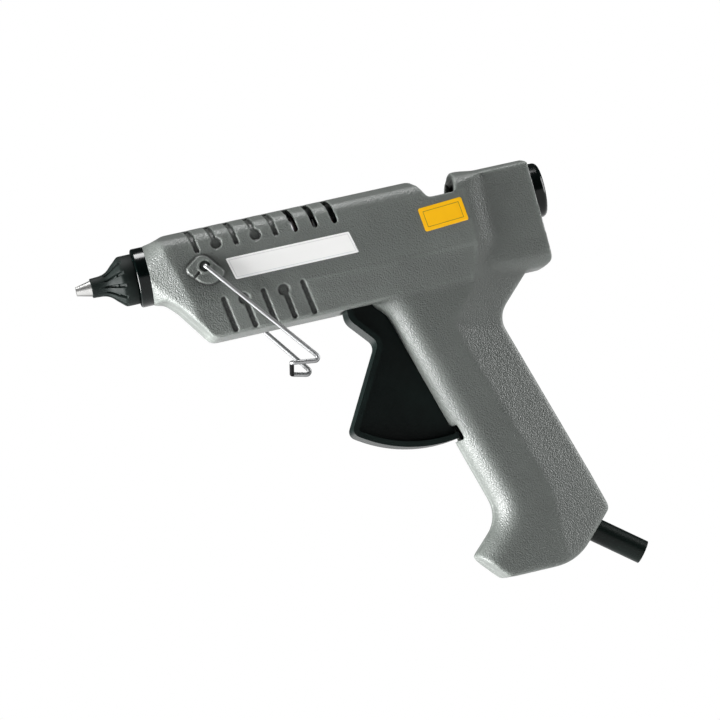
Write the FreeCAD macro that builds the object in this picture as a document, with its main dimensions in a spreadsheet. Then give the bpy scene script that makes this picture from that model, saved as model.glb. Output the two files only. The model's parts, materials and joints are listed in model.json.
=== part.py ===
"""Glue gun for 12 mm glue sticks.

Millimetres. The stick runs along X: its inlet mouth is at the origin, the nozzle points to -X and +Z is up.
-Y is the gun's left side. Every size is a cell of the spreadsheet Sizes, and the pieces are bound to it.
"""
import FreeCAD, Part
import math
import os
import re

import Sketcher
from FreeCAD import Placement, Rotation, Vector

doc = FreeCAD.newDocument("glue_gun")
sheet = doc.addObject("Spreadsheet::Sheet", "Sizes")

SIZES = {
    # glue stick and fits
    "stick_bore": 6.4,
    "stick_clearance": 0.4,
    "fit_gap": 0.1,
    "running_gap": 0.05,
    "reach": 400,
    # housing shell
    "wall": 2.5,
    "recess_depth": 1.2,
    "body_half": 20,
    "grip_half": 17.6,
    "block_half": 17,
    "body_bottom": 39.1,
    "top_height": 17.9,
    # neck and nose
    "neck_end": 203.2,
    "neck_radius": 14.7,
    "neck_top_bend": 197.5,
    "shoulder_end": 192.3,
    "nose_bend_one": 197.2,
    "nose_bend_one_drop": 15.4,
    "nose_bend_two": 191.6,
    "nose_bend_two_drop": 20.6,
    "chin_end": 178.2,
    "nose_side_flare": 8.5,
    "nose_low_flare": 0.4,
    # crown of the barrel
    "crown_edge": 5.3,
    "crown_apex": 1.2,
    "crown_edge_round": 7,
    "crown_apex_round": 25,
    "tuck_start": 22,
    "tuck_half": 17.8,
    # viewing notch and rear block
    "notch_top_front": 66.1,
    "notch_floor_front": 60,
    "notch_floor": 6.6,
    "notch_rear": 46.4,
    "notch_rear_top": 44.4,
    "ramp_start": 42.2,
    "ramp_end": 34,
    "block_top": 2.2,
    "rear_face_top": 6.9,
    "rear_face_low": 4.9,
    # grip outline
    "grip_root": 112,
    "root_rise": 1.5,
    "grip_front_top": 93.6,
    "toe_bend": 58.6,
    "toe_bend_drop": 155.7,
    "toe_tip": 75.6,
    "toe_tip_drop": 172.3,
    "toe_heel": 62.7,
    "foot_drop": 186.2,
    "sole_end": 27.6,
    "heel": 4.1,
    "heel_drop": 163.6,
    "web": 37.3,
    "web_drop": 58.3,
    "tail": 18,
    "grip_front_round": 12,
    "guard_round": 15,
    "palm_round": 16,
    "web_round": 12,
    "tail_round": 7,
    "sole_round": 28,
    # relief of the grip's sides
    "relief_angle": 19.3,
    "relief_body": 39.5,
    "relief_knee": 57,
    "relief_knee_drop": 46,
    "relief_top": 40.3,
    "relief_top_drop": 26,
    "relief_grip": 62.3,
    "relief_grip_drop": 57,
    "relief_foot": 22.5,
    "relief_foot_drop": 180,
    "block_edge_round": 8,
    # cooling slots
    "slot_pitch": 10,
    "slot_width": 2.8,
    "slot_lean": 10,
    "upper_slot_first": 178.1,
    "upper_slot_end": 3.8,
    "lower_slot_first": 167.8,
    "lower_slot_top": 19.7,
    "lower_slot_end": 38.2,
    "keyhole_radius": 3,
    "spine_half": 2.2,
    "dash_depth": 1.6,
    # stand
    "stand_x": 176,
    "stand_drop": 3.1,
    "stand_wire": 1.15,
    "stand_spread": 3.2,
    "stand_end": 4.2,
    "stand_leg": 46.1,
    "stand_leg_drop": 58.1,
    "stand_toe": 30.8,
    "stand_toe_drop": 56,
    "stand_far_leg": 45.8,
    "stand_far_leg_drop": 61.8,
    "stand_far_toe": 34.5,
    "stand_far_toe_drop": 59.1,
    "stand_bend": 1.6,
    "stand_elbow": 1.6,
    "boss_height": 1,
    "boss_top": 7,
    "boss_rear": 9.4,
    "boss_rear_drop": 5.4,
    "boss_low": 11.4,
    "boss_front": 10.2,
    "boss_top_round": 4.8,
    "boss_corner_round": 2.3,
    "boss_low_round": 8,
    "boss_slit": 1.3,
    "boss_slit_angle": 37,
    "boss_slit_start": 2.4,
    "boss_ring": 3.6,
    "boss_ring_height": 1.4,
    # nozzle
    "nozzle_tip": 8.1,
    "nozzle_tip_radius": 2.2,
    "nozzle_cone_end": 9.4,
    "nozzle_cone_radius": 4.1,
    "nozzle_shoulder": 9.6,
    "nozzle_body_radius": 5.4,
    "nozzle_skirt": 13,
    "nozzle_skirt_radius": 7.6,
    "nozzle_orifice": 1,
    "ball_chamber": 3.2,
    "ball_seat": 9,
    "seat_bore": 1.4,
    "ball_chamber_front": 9.4,
    "ball_radius": 2,
    "spring_radius": 2.4,
    "valve_wire": 0.35,
    "valve_turns": 5,
    # cap and collar
    "cap_front": 0.5,
    "cap_front_radius": 4.9,
    "cap_waist": 9.5,
    "cap_waist_radius": 5.4,
    "cap_waist_round": 5,
    "cap_shoulder": 7,
    "cap_radius": 12.6,
    "cap_end": 0.3,
    "cap_sleeve_radius": 9.3,
    "cap_sleeve_end": 5.5,
    "cap_groove_radius": 1.7,
    "cap_groove_end": 1.4,
    "cap_groove_front": 0.7,
    "cap_groove_depth": 0.9,
    "cap_grooves": 8,
    "collar_front": 6,
    "collar_radius": 14.8,
    "collar_lip": 1.6,
    "spigot_radius": 12.4,
    "spigot_bore": 10.6,
    "spigot_length": 4,
    # melting chamber
    "chamber_front": 9.2,
    "shoulder_front": 3.9,
    "thread_end": 12,
    "chamber_radius": 11.5,
    "chamber_end": 120,
    "chamber_tail": 114,
    "chamber_tail_radius": 8,
    "thread_radius": 5,
    "melt_bore": 3,
    "melt_bore_mid": 4.2,
    "stick_seat": 5.9,
    "chamber_bore": 6.2,
    "chamber_edge": 1,
    "shoulder_radius": 8,
    "heater_thick": 2.4,
    "heater_flat": 9.9,
    "heater_wide": 12,
    "heater_start": 186,
    "heater_end": 136,
    "clip_thick": 0.8,
    "clip_wide": 9,
    "clip_round": 5.4,
    "clip_open": 4,
    "clip_front": 176,
    "clip_rear": 146,
    "thermostat_x": 161,
    "thermostat_radius": 4.5,
    "thermostat_height": 3.2,
    "thermostat_seat": 11,
    "thermostat_air": 0.4,
    # chamber mounts
    "front_mount_end": 7.6,
    "front_mount_radius": 12.1,
    "rear_mount_x": 128,
    "rear_mount_length": 4,
    "rear_mount_radius": 15,
    # stick inlet sleeve
    "sleeve_end": 107,
    "sleeve_radius": 9.6,
    "sleeve_lip": 5.7,
    "sleeve_lip_start": 113.6,
    "sleeve_clip_wire": 0.7,
    "sleeve_clip_x": 117,
    # trigger
    "pivot_x": 81,
    "pivot_drop": 46.5,
    "pivot_pin": 2.5,
    "hub_radius": 6,
    "hub_half": 5.4,
    "trigger_web": 3,
    "trigger_rim": 2.8,
    "trigger_half": 11,
    "trigger_arc": 67.3,
    "trigger_arc_mid": 12.75,
    "trigger_arc_half": 20.75,
    "trigger_waist": 99.4,
    "trigger_waist_drop": 58,
    "trigger_brow": 111.2,
    "trigger_brow_drop": 44,
    "trigger_top_drop": 36,
    "trigger_neck_back": 104,
    "link_height": 32,
    "arm_lean": 12,
    "arm_half_width": 3.6,
    "arm_end": 3,
    "brow_round": 8,
    "waist_round": 5,
    "toe_round": 4,
    "toe_run": 5.5,
    "link_gap": 0.35,
    "link_pin": 1.5,
    "lug_reach": 22,
    "lug_thick": 5,
    "spring_x": 63,
    "trigger_gap": 0.6,
    "front_slot_depth": 6,
    "rim_notch_top": 106.6,
    "rim_notch_end": 114.4,
    # carriage and clamp
    "carriage_front": 84,
    "carriage_end": 66,
    "carriage_half": 11,
    "carriage_up": 9.6,
    "carriage_down": 9.5,
    "carriage_lug_drop": 17.6,
    "carriage_lug_thick": 3.2,
    "carriage_lug_in": 4.5,
    "carriage_lug_half": 4,
    "slide_gap": 0.3,
    "rail_start": 100,
    "rail_end": 64,
    "rail_in": 8.5,
    "rail_thick": 2.2,
    "clamp_pin_x": 70.5,
    "clamp_pin_up": 11.8,
    "clamp_hub": 2.4,
    "clamp_reach": 7,
    "clamp_tooth_up": 6.6,
    "clamp_window_front": 79.5,
    "clamp_pin_radius": 1.25,
    "clamp_half": 3,
    "clamp_window": 3.4,
    "clamp_ear_up": 13.6,
    "clamp_ear_thick": 2.2,
    # return spring
    "return_radius": 3,
    "return_wire": 0.5,
    "return_turns": 8,
    "shelf_drop": 24,
    "shelf_thick": 2.4,
    "shelf_half": 5,
    # rear ring
    "ring_radius": 13.8,
    "ring_flange": 5.6,
    "ring_spigot": 12,
    "ring_spigot_end": 13.5,
    "ring_round": 2.4,
    # cable sleeve
    "sleeve_angle": 38,
    "cable_x": 12.2,
    "cable_drop": 173.4,
    "cable_out": 25.6,
    "cable_in": 7,
    "cable_radius": 6,
    "cable_bore": 3.6,
    "cable_flange": 7.1,
    "cable_flange_thick": 2,
    # cord clamp, terminal block, screws
    "clamp_bar_in": 27,
    "clamp_bar_base": 1.5,
    "clamp_screw_half": 6.2,
    "clamp_screw_long": 9,
    "clamp_bar_long": 18,
    "clamp_bar_wide": 6,
    "clamp_bar_thick": 3,
    "clamp_groove": 3.5,
    "clamp_screw": 1.3,
    "clamp_screw_head": 2.6,
    "block_x": 43,
    "block_drop": 131,
    "block_long": 24,
    "block_wide": 10,
    "block_deep": 13,
    "post_radius": 2.6,
    "screw_shank": 1.5,
    "screw_head": 3,
    "screw_head_depth": 2,
    "screw_column": 3.8,
    "screw_length": 22,
    "screw_chin_x": 172.5,
    "screw_chin_drop": 31.5,
    "screw_guard_x": 121,
    "screw_guard_drop": 31.5,
    "screw_tail_x": 22,
    "screw_tail_drop": 24,
    "screw_web_x": 54,
    "screw_web_drop": 66,
    "screw_grip_x": 38,
    "screw_grip_drop": 112,
    "screw_foot_x": 52,
    "screw_foot_drop": 172,
    "pivot_boss": 5,
    "rib": 2,
}

for row, (alias, value) in enumerate(SIZES.items(), start=1):
    sheet.set(f"A{row}", alias)
    sheet.set(f"B{row}", str(value))
    sheet.setAlias(f"B{row}", alias)
doc.recompute()

# places along the stick's axis, forward of its inlet and counted from one piece to the next
PLACES = {
    "collar_face": "neck_end + collar_front",
    "chamber_face": "neck_end - chamber_front",
    "shoulder_face": "neck_end - shoulder_front",
    "mount_rear": "neck_end - front_mount_end",
    "thread_tip": "shoulder_face + thread_end",
    "skirt_face": "shoulder_face + nozzle_skirt",
    "seat_face": "thread_tip + ball_seat",
    "valve_face": "seat_face + ball_chamber_front",
    "cone_base": "skirt_face + nozzle_shoulder",
    "cone_end": "cone_base + nozzle_cone_end",
    "tip_face": "cone_end + nozzle_tip",
    "cap_rear": "collar_face + cap_end",
    "cap_sleeve_rear": "cap_rear - cap_sleeve_end",
    "cap_rim": "cap_rear + cap_shoulder",
    "cap_neck": "cap_rim + cap_waist",
    "cap_mouth": "cone_end + cap_front",
}
# screws that join the halves
HOUSING_SCREWS = ("chin", "guard", "tail", "web", "grip", "foot")
AXES = {
    "XY": Rotation(),
    "XZ": Rotation(Vector(1, 0, 0), 90),
    "YZ": Rotation(Vector(1, 1, 1), 120),
}
pieces = []


# ---------------------------------------------------------------- reading and binding sizes
def bound(text):
    """Return the expression with each place written out and each size pointed at the spreadsheet."""
    def spell(word):
        if word[0] in PLACES:
            return f"({bound(PLACES[word[0]])})"
        return f"Sizes.{word[0]}" if word[0] in SIZES else word[0]
    return re.sub(r"[a-z_]+", spell, str(text))


def value_of(text):
    """Return the number that an expression of size names gives."""
    result = sheet.evalExpression(re.sub("Sizes\\.", "", bound(text)))
    return float(getattr(result, "Value", result))


def bind(item, **expressions):
    """Bind properties of an object to expressions; a dot in a name is written as two underscores."""
    for name, text in expressions.items():
        item.setExpression(name.replace("__", "."), bound(text))
    return item


def at(item, x="0", y="0", z="0", rotation=None):
    """Place an object, with its position bound to expressions."""
    if rotation is not None:
        item.Placement = Placement(Vector(), rotation)
    bind(item, Placement__Base__x=x, Placement__Base__y=y, Placement__Base__z=z)
    return item


# ---------------------------------------------------------------- sketches
def corner_arc(before, corner, after, radius):
    """Return an arc's centre and its two tangent points at a rounded corner."""
    first = (before - corner).normalize()
    second = (after - corner).normalize()
    half = first.getAngle(second) / 2
    run = radius / math.tan(half)
    centre = corner + (first + second).normalize() * (radius / math.sin(half))
    return centre, corner + first * run, corner + second * run


def draw(sketch, corners):
    """Draw a closed outline of (across, up[, radius]) corners, each bound to the spreadsheet."""
    spots = [Vector(value_of(corner[0]), value_of(corner[1]), 0) for corner in corners]
    radii = [corner[2] if len(corner) > 2 else None for corner in corners]
    count = len(corners)
    arcs = {}
    for index, radius in enumerate(radii):
        if radius:
            after = spots[(index + 1) % count]
            arcs[index] = corner_arc(spots[index - 1], spots[index], after, value_of(radius))
    lines = []
    for index in range(count):
        after = (index + 1) % count
        start = arcs[index][2] if index in arcs else spots[index]
        end = arcs[after][1] if after in arcs else spots[after]
        lines.append(sketch.addGeometry(Part.LineSegment(start, end), False))
    for index in range(count):
        into, out = lines[index - 1], lines[index]
        if index in arcs:
            holder = round_corner(sketch, spots[index], arcs[index], radii[index], into, out)
            position = 1
        else:
            sketch.addConstraint(Sketcher.Constraint("Coincident", into, 2, out, 1))
            holder, position = out, 1
        for kind, text in (("DistanceX", corners[index][0]), ("DistanceY", corners[index][1])):
            number = sketch.addConstraint(Sketcher.Constraint(kind, holder, position, value_of(text)))
            sketch.setExpression(f"Constraints[{number}]", bound(text))
    return sketch


def round_corner(sketch, corner, arc, radius, into, out):
    """Add a tangent arc between two lines and return the construction point at their corner."""
    centre, start, end = arc
    turn = (start - centre).cross(end - centre).z
    first, last = (start, end) if turn > 0 else (end, start)
    angles = [math.atan2((spot - centre).y, (spot - centre).x) for spot in (first, last)]
    if angles[1] < angles[0]:
        angles[1] += 2 * math.pi
    circle = Part.Circle(centre, Vector(0, 0, 1), (start - centre).Length)
    bend = sketch.addGeometry(Part.ArcOfCircle(circle, *angles), False)
    point = sketch.addGeometry(Part.Point(corner), True)
    start_end, end_end = (1, 2) if turn > 0 else (2, 1)
    sketch.addConstraint(Sketcher.Constraint("Tangent", into, 2, bend, start_end))
    sketch.addConstraint(Sketcher.Constraint("Tangent", out, 1, bend, end_end))
    sketch.addConstraint(Sketcher.Constraint("PointOnObject", point, 1, into))
    sketch.addConstraint(Sketcher.Constraint("PointOnObject", point, 1, out))
    number = sketch.addConstraint(Sketcher.Constraint("Radius", bend, (start - centre).Length))
    sketch.setExpression(f"Constraints[{number}]", bound(radius))
    return point


def outline(name, plane, corners, x="0", y="0", z="0"):
    """Return a free sketch of an outline on a plane."""
    sketch = doc.addObject("Sketcher::SketchObject", name)
    draw(sketch, corners)
    return at(sketch, x, y, z, AXES[plane])


# ---------------------------------------------------------------- solids from sketches and primitives
def extrude(name, sketch, forward, back="0"):
    """Extrude an outline along its sketch's normal, which is -Y for an XZ outline."""
    solid = doc.addObject("Part::Extrusion", name)
    solid.Base = sketch
    solid.DirMode = "Custom"
    solid.Dir = getattr(sketch, "Source", sketch).Placement.Rotation.multVec(Vector(0, 0, 1))
    solid.Solid = True
    return bind(solid, LengthFwd=forward, LengthRev=back)


def slab(name, corners, half):
    """Extrude an XZ outline to both sides of the middle plane."""
    return extrude(name, outline(f"{name}_outline", "XZ", corners), half, half)


def lathe(name, corners):
    """Turn an outline of (x, radius) corners about the stick axis."""
    solid = doc.addObject("Part::Revolution", name)
    solid.Source = outline(f"{name}_profile", "XZ", corners)
    solid.Axis = Vector(1, 0, 0)
    solid.Angle = 360
    solid.Solid = True
    return solid


def cylinder(name, radius, length, x="0", y="0", z="0", axis=Vector(0, 0, 1)):
    """Return a round bar from a place along an axis."""
    solid = doc.addObject("Part::Cylinder", name)
    bind(solid, Radius=radius, Height=length)
    return at(solid, x, y, z, Rotation(Vector(0, 0, 1), axis))


def cross_bar(name, radius, half, x, z):
    """Return a round bar across the gun, centred on the middle plane."""
    return cylinder(name, radius, f"2 * ({half})", x, half, z, Vector(0, -1, 0))


def box(name, low, high):
    """Return a box between two corners."""
    solid = doc.addObject("Part::Box", name)
    spans = [f"({top}) - ({bottom})" for bottom, top in zip(low, high)]
    bind(solid, Length=spans[0], Width=spans[1], Height=spans[2])
    return at(solid, *low)


def fuse(name, *solids):
    """Join solids."""
    joined = doc.addObject("Part::MultiFuse", name)
    joined.Shapes = list(solids)
    return joined


def common(name, *solids):
    """Keep what all the solids share."""
    shared = solids[0]
    for number, other in enumerate(solids[1:], start=1):
        both = doc.addObject("Part::Common", f"{name}_{number}")
        both.Base = shared
        both.Tool = other
        shared = both
    return shared


def cut(name, base, *tools):
    """Cut tools out of a solid."""
    left = doc.addObject("Part::Cut", name)
    left.Base = base
    left.Tool = tools[0] if len(tools) == 1 else fuse(f"{name}_tools", *tools)
    return left


def mirrored(name, source):
    """Return the mirror image of a solid across the middle plane."""
    image = doc.addObject("Part::Mirroring", name)
    image.Source = source
    image.Normal = Vector(0, 1, 0)
    return image


def shrunk(name, sketch, inset):
    """Return an outline moved inwards, or the outline itself where the inset is nought."""
    if inset == "0":
        return sketch
    doc.recompute()
    smaller = doc.addObject("Part::Offset2D", name)
    smaller.Source = sketch
    smaller.Join = 2
    smaller.Fill = False
    return bind(smaller, Value=f"-({inset})")


def rounded(name, base, radius, chosen):
    """Round the edges of a solid that a test chooses."""
    doc.recompute()
    numbers = [number for number, edge in enumerate(base.Shape.Edges, start=1) if chosen(edge)]
    solid = doc.addObject("Part::Fillet", name)
    solid.Base = base
    size = value_of(radius)
    solid.Edges = [(number, size, size) for number in numbers]
    return solid


def piece(solid, label):
    """Name a finished piece."""
    solid.Label = label
    pieces.append(solid)
    return solid


# ---------------------------------------------------------------- housing form
def barrel_outline():
    """Side outline of the barrel, its viewing notch and the rear block."""
    return outline("barrel_outline", "XZ", [
        ("-neck_end", "neck_radius"),
        ("-neck_top_bend", "neck_radius + 0.5", "12"),
        ("-shoulder_end", "top_height", "4"),
        ("-notch_top_front", "top_height", "4"),
        ("-notch_floor_front", "notch_floor", "3"),
        ("-notch_rear", "notch_floor"),
        ("-notch_rear_top", "top_height", "1.5"),
        ("-ramp_start", "top_height", "6"),
        ("-ramp_end", "top_height - block_top", "12"),
        ("-rear_face_top", "top_height - block_top", "3"),
        ("-rear_face_low", "-body_bottom", "4.5"),
        ("-chin_end", "-body_bottom", "3"),
        ("-nose_bend_two", "-nose_bend_two_drop", "14"),
        ("-nose_bend_one", "-nose_bend_one_drop", "5"),
        ("-neck_end", "-neck_radius"),
    ])


def section_outline():
    """Cross-section of the barrel: crowned top and tucked-in lower sides."""
    half = [("body_half", "top_height - crown_edge", "crown_edge_round"), ("body_half", "-tuck_start", "12"),
            ("tuck_half", "-body_bottom - 0.4", "2.4")]
    other = [(f"-{across}", up, bend) for across, up, bend in reversed(half)]
    apex = [("0", "top_height + crown_apex", "crown_apex_round")]
    return outline("section_outline", "YZ", apex + half + other, x="-neck_end - 10")


def grip_outline():
    """Side outline of the grip, from inside the barrel down to the foot."""
    return outline("grip_outline", "XZ", [
        ("-grip_root", "-body_bottom + 18"),
        ("-grip_root", "-body_bottom + root_rise"),
        ("-grip_front_top", "-body_bottom", "guard_round"),
        ("-toe_bend", "-toe_bend_drop", "palm_round"),
        ("-toe_tip", "-toe_tip_drop"),
        ("-toe_heel", "-foot_drop", "1.5"),
        ("-sole_end", "-foot_drop", "sole_round"),
        ("-heel", "-heel_drop", "3"),
        ("-web", "-web_drop", "web_round"),
        ("-tail", "-body_bottom", "tail_round"),
        ("-tail + 9", "-body_bottom + root_rise"),
        ("-tail + 9", "-body_bottom + 18"),
    ])


def nose_corners(half_top, half_low, up, down, bend):
    """Corners of a section of the nose loft."""
    return [(f"-({half_low})", f"-({down})", bend), (half_low, f"-({down})", bend),
            (half_top, up, bend), (f"-({half_top})", up, bend)]


def nose_form(name, inset):
    """Loft from the round neck to the barrel, with the whole barrel behind it."""
    neck = nose_corners("neck_radius", "neck_radius", "neck_radius", "neck_radius", "neck_radius - 0.6")
    back = nose_corners("body_half + nose_side_flare", "body_half + nose_low_flare", "top_height + 4",
                        "body_bottom + 0.6", "3.5")
    front = shrunk(f"{name}_neck_in", outline(f"{name}_neck", "YZ", neck, x="-neck_end"), inset)
    rear = shrunk(f"{name}_back_in", outline(f"{name}_back", "YZ", back, x="-chin_end - 1"), inset)
    loft = doc.addObject("Part::Loft", f"{name}_loft")
    loft.Sections = [front, rear]
    loft.Solid = True
    loft.Ruled = True
    bulk = box(f"{name}_bulk", ("-chin_end - 1", "-reach / 2", "-reach / 2"),
               ("reach / 8", "reach / 2", "reach / 2"))
    return fuse(f"{name}_body", loft, bulk)


def beyond_plane(name, start, end, level, inset):
    """Half-space outboard of a sloping plane through a crease line on the left side."""
    first = Vector(value_of(start[0]), -value_of(level), value_of(start[1]))
    last = Vector(value_of(end[0]), -value_of(level), value_of(end[1]))
    along = (last - first).normalize()
    rearwards = along.cross(Vector(0, -1, 0))
    if rearwards.x < 0:
        rearwards = rearwards * -1
    angle = math.radians(value_of("relief_angle"))
    normal = Vector(0, -math.cos(angle), 0) + rearwards * math.sin(angle)
    half = value_of("reach") / 2
    block = doc.addObject("Part::Box", name)
    bind(block, Length="reach", Width="reach", Height="reach / 4")
    turn = Rotation(along, normal.cross(along), normal, "XYZ")
    shift = Placement(first - normal * value_of(inset), turn)
    block.Placement = shift.multiply(Placement(Vector(-half, -half, 0), Rotation()))
    return block


def side_relief(name, inset):
    """Sloping relief behind the crease on both sides, with the rear block left standing."""
    body = beyond_plane(f"{name}_body", ("-relief_body", "0"), ("-relief_body", "-relief_top_drop"),
                        "body_half", inset)
    knee = beyond_plane(f"{name}_knee", ("-relief_top", "-relief_top_drop"),
                        ("-relief_knee", "-relief_knee_drop"), "body_half - 1.2", inset)
    grip = beyond_plane(f"{name}_grip", ("-relief_grip", "-relief_grip_drop"),
                        ("-relief_foot", "-relief_foot_drop"), "grip_half", inset)
    left = fuse(f"{name}_left", body, common(f"{name}_low", knee, grip))
    block = box(f"{name}_block", ("-relief_body - 6", f"-block_half + ({inset})", f"-body_bottom + ({inset})"),
                ("reach / 8", f"block_half - ({inset})", "reach / 8"))
    keep = rounded(f"{name}_keep", block, f"block_edge_round - ({inset})", is_low_long_edge)
    return cut(f"{name}_cutter", fuse(f"{name}_both", left, mirrored(f"{name}_right", left)), keep)


def is_low_long_edge(edge):
    """Whether an edge of a box runs along X at the box's foot."""
    ends = [vertex.Point for vertex in edge.Vertexes]
    return abs(ends[0].x - ends[1].x) > 1 and max(end.z for end in ends) < 0


def is_grip_front_edge(edge):
    """Whether an edge of the grip lies on a side and along its front."""
    middle = edge.valueAt((edge.FirstParameter + edge.LastParameter) / 2)
    on_side = abs(abs(middle.y) - abs(edge.Vertexes[0].Point.y)) < 1e-6 and \
        abs(edge.Vertexes[0].Point.y - edge.Vertexes[-1].Point.y) < 1e-6
    top, low = -value_of("body_bottom") - 0.5, -value_of("toe_tip_drop") + 0.5
    line = -value_of("grip_front_top") + (top - middle.z) * \
        (value_of("grip_front_top") - value_of("toe_bend")) / (value_of("toe_bend_drop") - value_of("body_bottom"))
    return on_side and low < middle.z < top and middle.x < line + 12


def housing_form(name, inset):
    """Solid form of the housing, moved inwards all over by the inset."""
    barrel = shrunk(f"{name}_barrel_in", SHAPES["barrel"], inset)
    section = shrunk(f"{name}_section_in", SHAPES["section"], inset)
    grip = shrunk(f"{name}_grip_in", SHAPES["grip"], inset)
    side = extrude(f"{name}_barrel", barrel, f"body_half + 4 - ({inset})", f"body_half + 4 - ({inset})")
    tube = extrude(f"{name}_section", section, "neck_end + 30")
    upper = common(f"{name}_upper", side, tube, nose_form(f"{name}_nose", inset))
    block = extrude(f"{name}_grip_block", grip, f"grip_half - ({inset})", f"grip_half - ({inset})")
    lower = rounded(f"{name}_grip", block, f"grip_front_round - ({inset})", is_grip_front_edge)
    return cut(name, fuse(f"{name}_whole", upper, lower), side_relief(f"{name}_relief", inset))


SHAPES = {"barrel": barrel_outline(), "section": section_outline(), "grip": grip_outline()}


# ---------------------------------------------------------------- housing halves
def slot_cutter(name, x, low, high, both_ends=False):
    """Prism through the gun for one slanted slot, x being its place at its lower end."""
    lean = Rotation(Vector(0, 1, 0), -value_of("slot_lean"))
    length = f"({high} - ({low})) / cos(slot_lean)"
    bar = doc.addObject("Part::Box", f"{name}_bar")
    bind(bar, Length="slot_width", Width="reach", Height=length)
    turned = Placement(Vector(value_of(x), 0, value_of(low)), lean)
    bar.Placement = turned.multiply(Placement(Vector(-value_of("slot_width") / 2, -value_of("reach / 2"), 0),
                                              Rotation()))
    parts = [bar, cross_bar(f"{name}_end", "slot_width / 2", "reach / 2", x, low)]
    if both_ends:
        top_x = f"{x} - ({high} - ({low})) * tan(slot_lean)"
        parts.append(cross_bar(f"{name}_top", "slot_width / 2", "reach / 2", top_x, high))
    return fuse(name, *parts)


def keyhole(name, x, z):
    """Round end of a keyhole slot."""
    return cross_bar(name, "keyhole_radius", "reach / 2", x, z)


def slots():
    """Return the shallow slots and the open slots of the barrel."""
    shallow, through = [], []
    for number in range(8):
        x = f"-upper_slot_first + {number} * slot_pitch"
        target = shallow if number < 5 else through
        target.append(slot_cutter(f"upper_slot_{number + 1}", x, "upper_slot_end + slot_width / 2",
                                  "reach / 8"))
        if number in (1, 3):
            shallow.append(keyhole(f"upper_keyhole_{number + 1}", x, "upper_slot_end + keyhole_radius"))
    for number in range(5):
        x = f"-lower_slot_first + {number} * slot_pitch"
        shallow.append(slot_cutter(f"lower_slot_{number + 1}", x, "-lower_slot_end + slot_width / 2",
                                   "-lower_slot_top - slot_width / 2", both_ends=True))
        if number in (1, 3):
            run = "(lower_slot_end - lower_slot_top - slot_width) * tan(slot_lean)"
            shallow.append(keyhole(f"lower_keyhole_{number + 1}", f"{x} - {run}",
                                   "-lower_slot_top - keyhole_radius"))
    dashes = [slot_cutter(f"dash_{number + 1}", f"-upper_slot_first + {number} * slot_pitch",
                          "upper_slot_end", "reach / 8") for number in range(5)]
    band = box("dash_band", ("-reach", "-spine_half - dash_depth", "0"),
               ("0", "spine_half + dash_depth", "reach"))
    through.append(common("dash_set", fuse("dash_slots", *dashes), band))
    spine = box("slot_spine", ("-reach", "-spine_half", "0"), ("0", "spine_half", "reach"))
    return cut("shallow_slots", fuse("shallow_set", *shallow), spine), \
        cut("open_slots", fuse("open_set", *through), spine)


def front_line(drop):
    """X of the grip's straight front at a drop below the stick axis."""
    slope = "(grip_front_top - toe_bend) / (toe_bend_drop - body_bottom)"
    return f"(-grip_front_top + ({drop} - body_bottom) * {slope})"


def trigger_opening():
    """Cutter for the trigger's way through the underside and the grip's front."""
    web = slab("trigger_slot", [
        ("-trigger_brow - 2", "-trigger_top_drop"),
        (f"{front_line('trigger_top_drop')} + front_slot_depth + 8", "-trigger_top_drop"),
        (f"{front_line('rim_notch_end')} + front_slot_depth", "-rim_notch_end"),
        (f"{front_line('rim_notch_end')} - 12", "-rim_notch_end"),
        ("-trigger_brow - 2", "-body_bottom - 12"),
    ], "trigger_web + trigger_gap")
    rim = slab("rim_slot", [
        ("-trigger_brow - 1.4", "-trigger_top_drop"),
        ("-trigger_brow + 14", "-trigger_top_drop"),
        ("-trigger_brow + 14", "-body_bottom - 12"),
        ("-trigger_brow - 1.4", "-body_bottom - 12"),
    ], "trigger_half + trigger_gap")
    notch = slab("rim_notch", [
        (f"{front_line('rim_notch_top')} - 12", "-rim_notch_top"),
        (f"{front_line('rim_notch_top')} + front_slot_depth", "-rim_notch_top"),
        (f"{front_line('rim_notch_end')} + front_slot_depth", "-rim_notch_end"),
        (f"{front_line('rim_notch_end')} - 12", "-rim_notch_end"),
    ], "trigger_half + trigger_gap")
    return [web, rim, notch]


def sleeve_bar(name, radius, start, end):
    """Round bar along the cable sleeve's axis between two distances from where it leaves the heel."""
    solid = doc.addObject("Part::Cylinder", name)
    bind(solid, Radius=radius, Height=f"({end}) - ({start})")
    angle = "sleeve_angle"
    return at(solid, f"-cable_x + ({start}) * cos({angle})", "0", f"-cable_drop - ({start}) * sin({angle})",
              Rotation(Vector(0, 0, 1), sleeve_direction()))


def sleeve_direction():
    """Unit vector along which the cable sleeve points out."""
    angle = math.radians(value_of("sleeve_angle"))
    return Vector(math.cos(angle), 0, -math.sin(angle))


def openings():
    """Cutters through the shell where something goes in, out or through."""
    stick = cylinder("stick_way", "stick_bore + stick_clearance", "notch_floor_front + 8",
                     "-notch_floor_front - 8", axis=Vector(1, 0, 0))
    window = box("stick_window", ("-notch_floor_front", "-stick_bore - stick_clearance", "0"),
                 ("-notch_rear + 0.6", "stick_bore + stick_clearance", "notch_floor + 6"))
    ring = cylinder("ring_hole", "ring_spigot + fit_gap", "reach / 8", "-ring_spigot_end - running_gap * 2",
                    axis=Vector(1, 0, 0))
    seat = cylinder("ring_seat", "ring_radius + fit_gap", "reach / 8", "-ring_flange", axis=Vector(1, 0, 0))
    neck = cylinder("neck_hole", "spigot_bore", "30", "-neck_end - 20", axis=Vector(1, 0, 0))
    pin = cross_bar("stand_holes", "stand_wire + running_gap", "reach / 2", "-stand_x", "-stand_drop")
    cable = sleeve_bar("cable_hole", "cable_radius + fit_gap", "-20", "40")
    relief = cylinder("thermostat_relief", "thermostat_radius + thermostat_air",
                      "thermostat_height + thermostat_air", "-thermostat_x", "0", "thermostat_seat")
    return [stick, window, ring, seat, neck, pin, cable, relief, *trigger_opening()]


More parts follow.
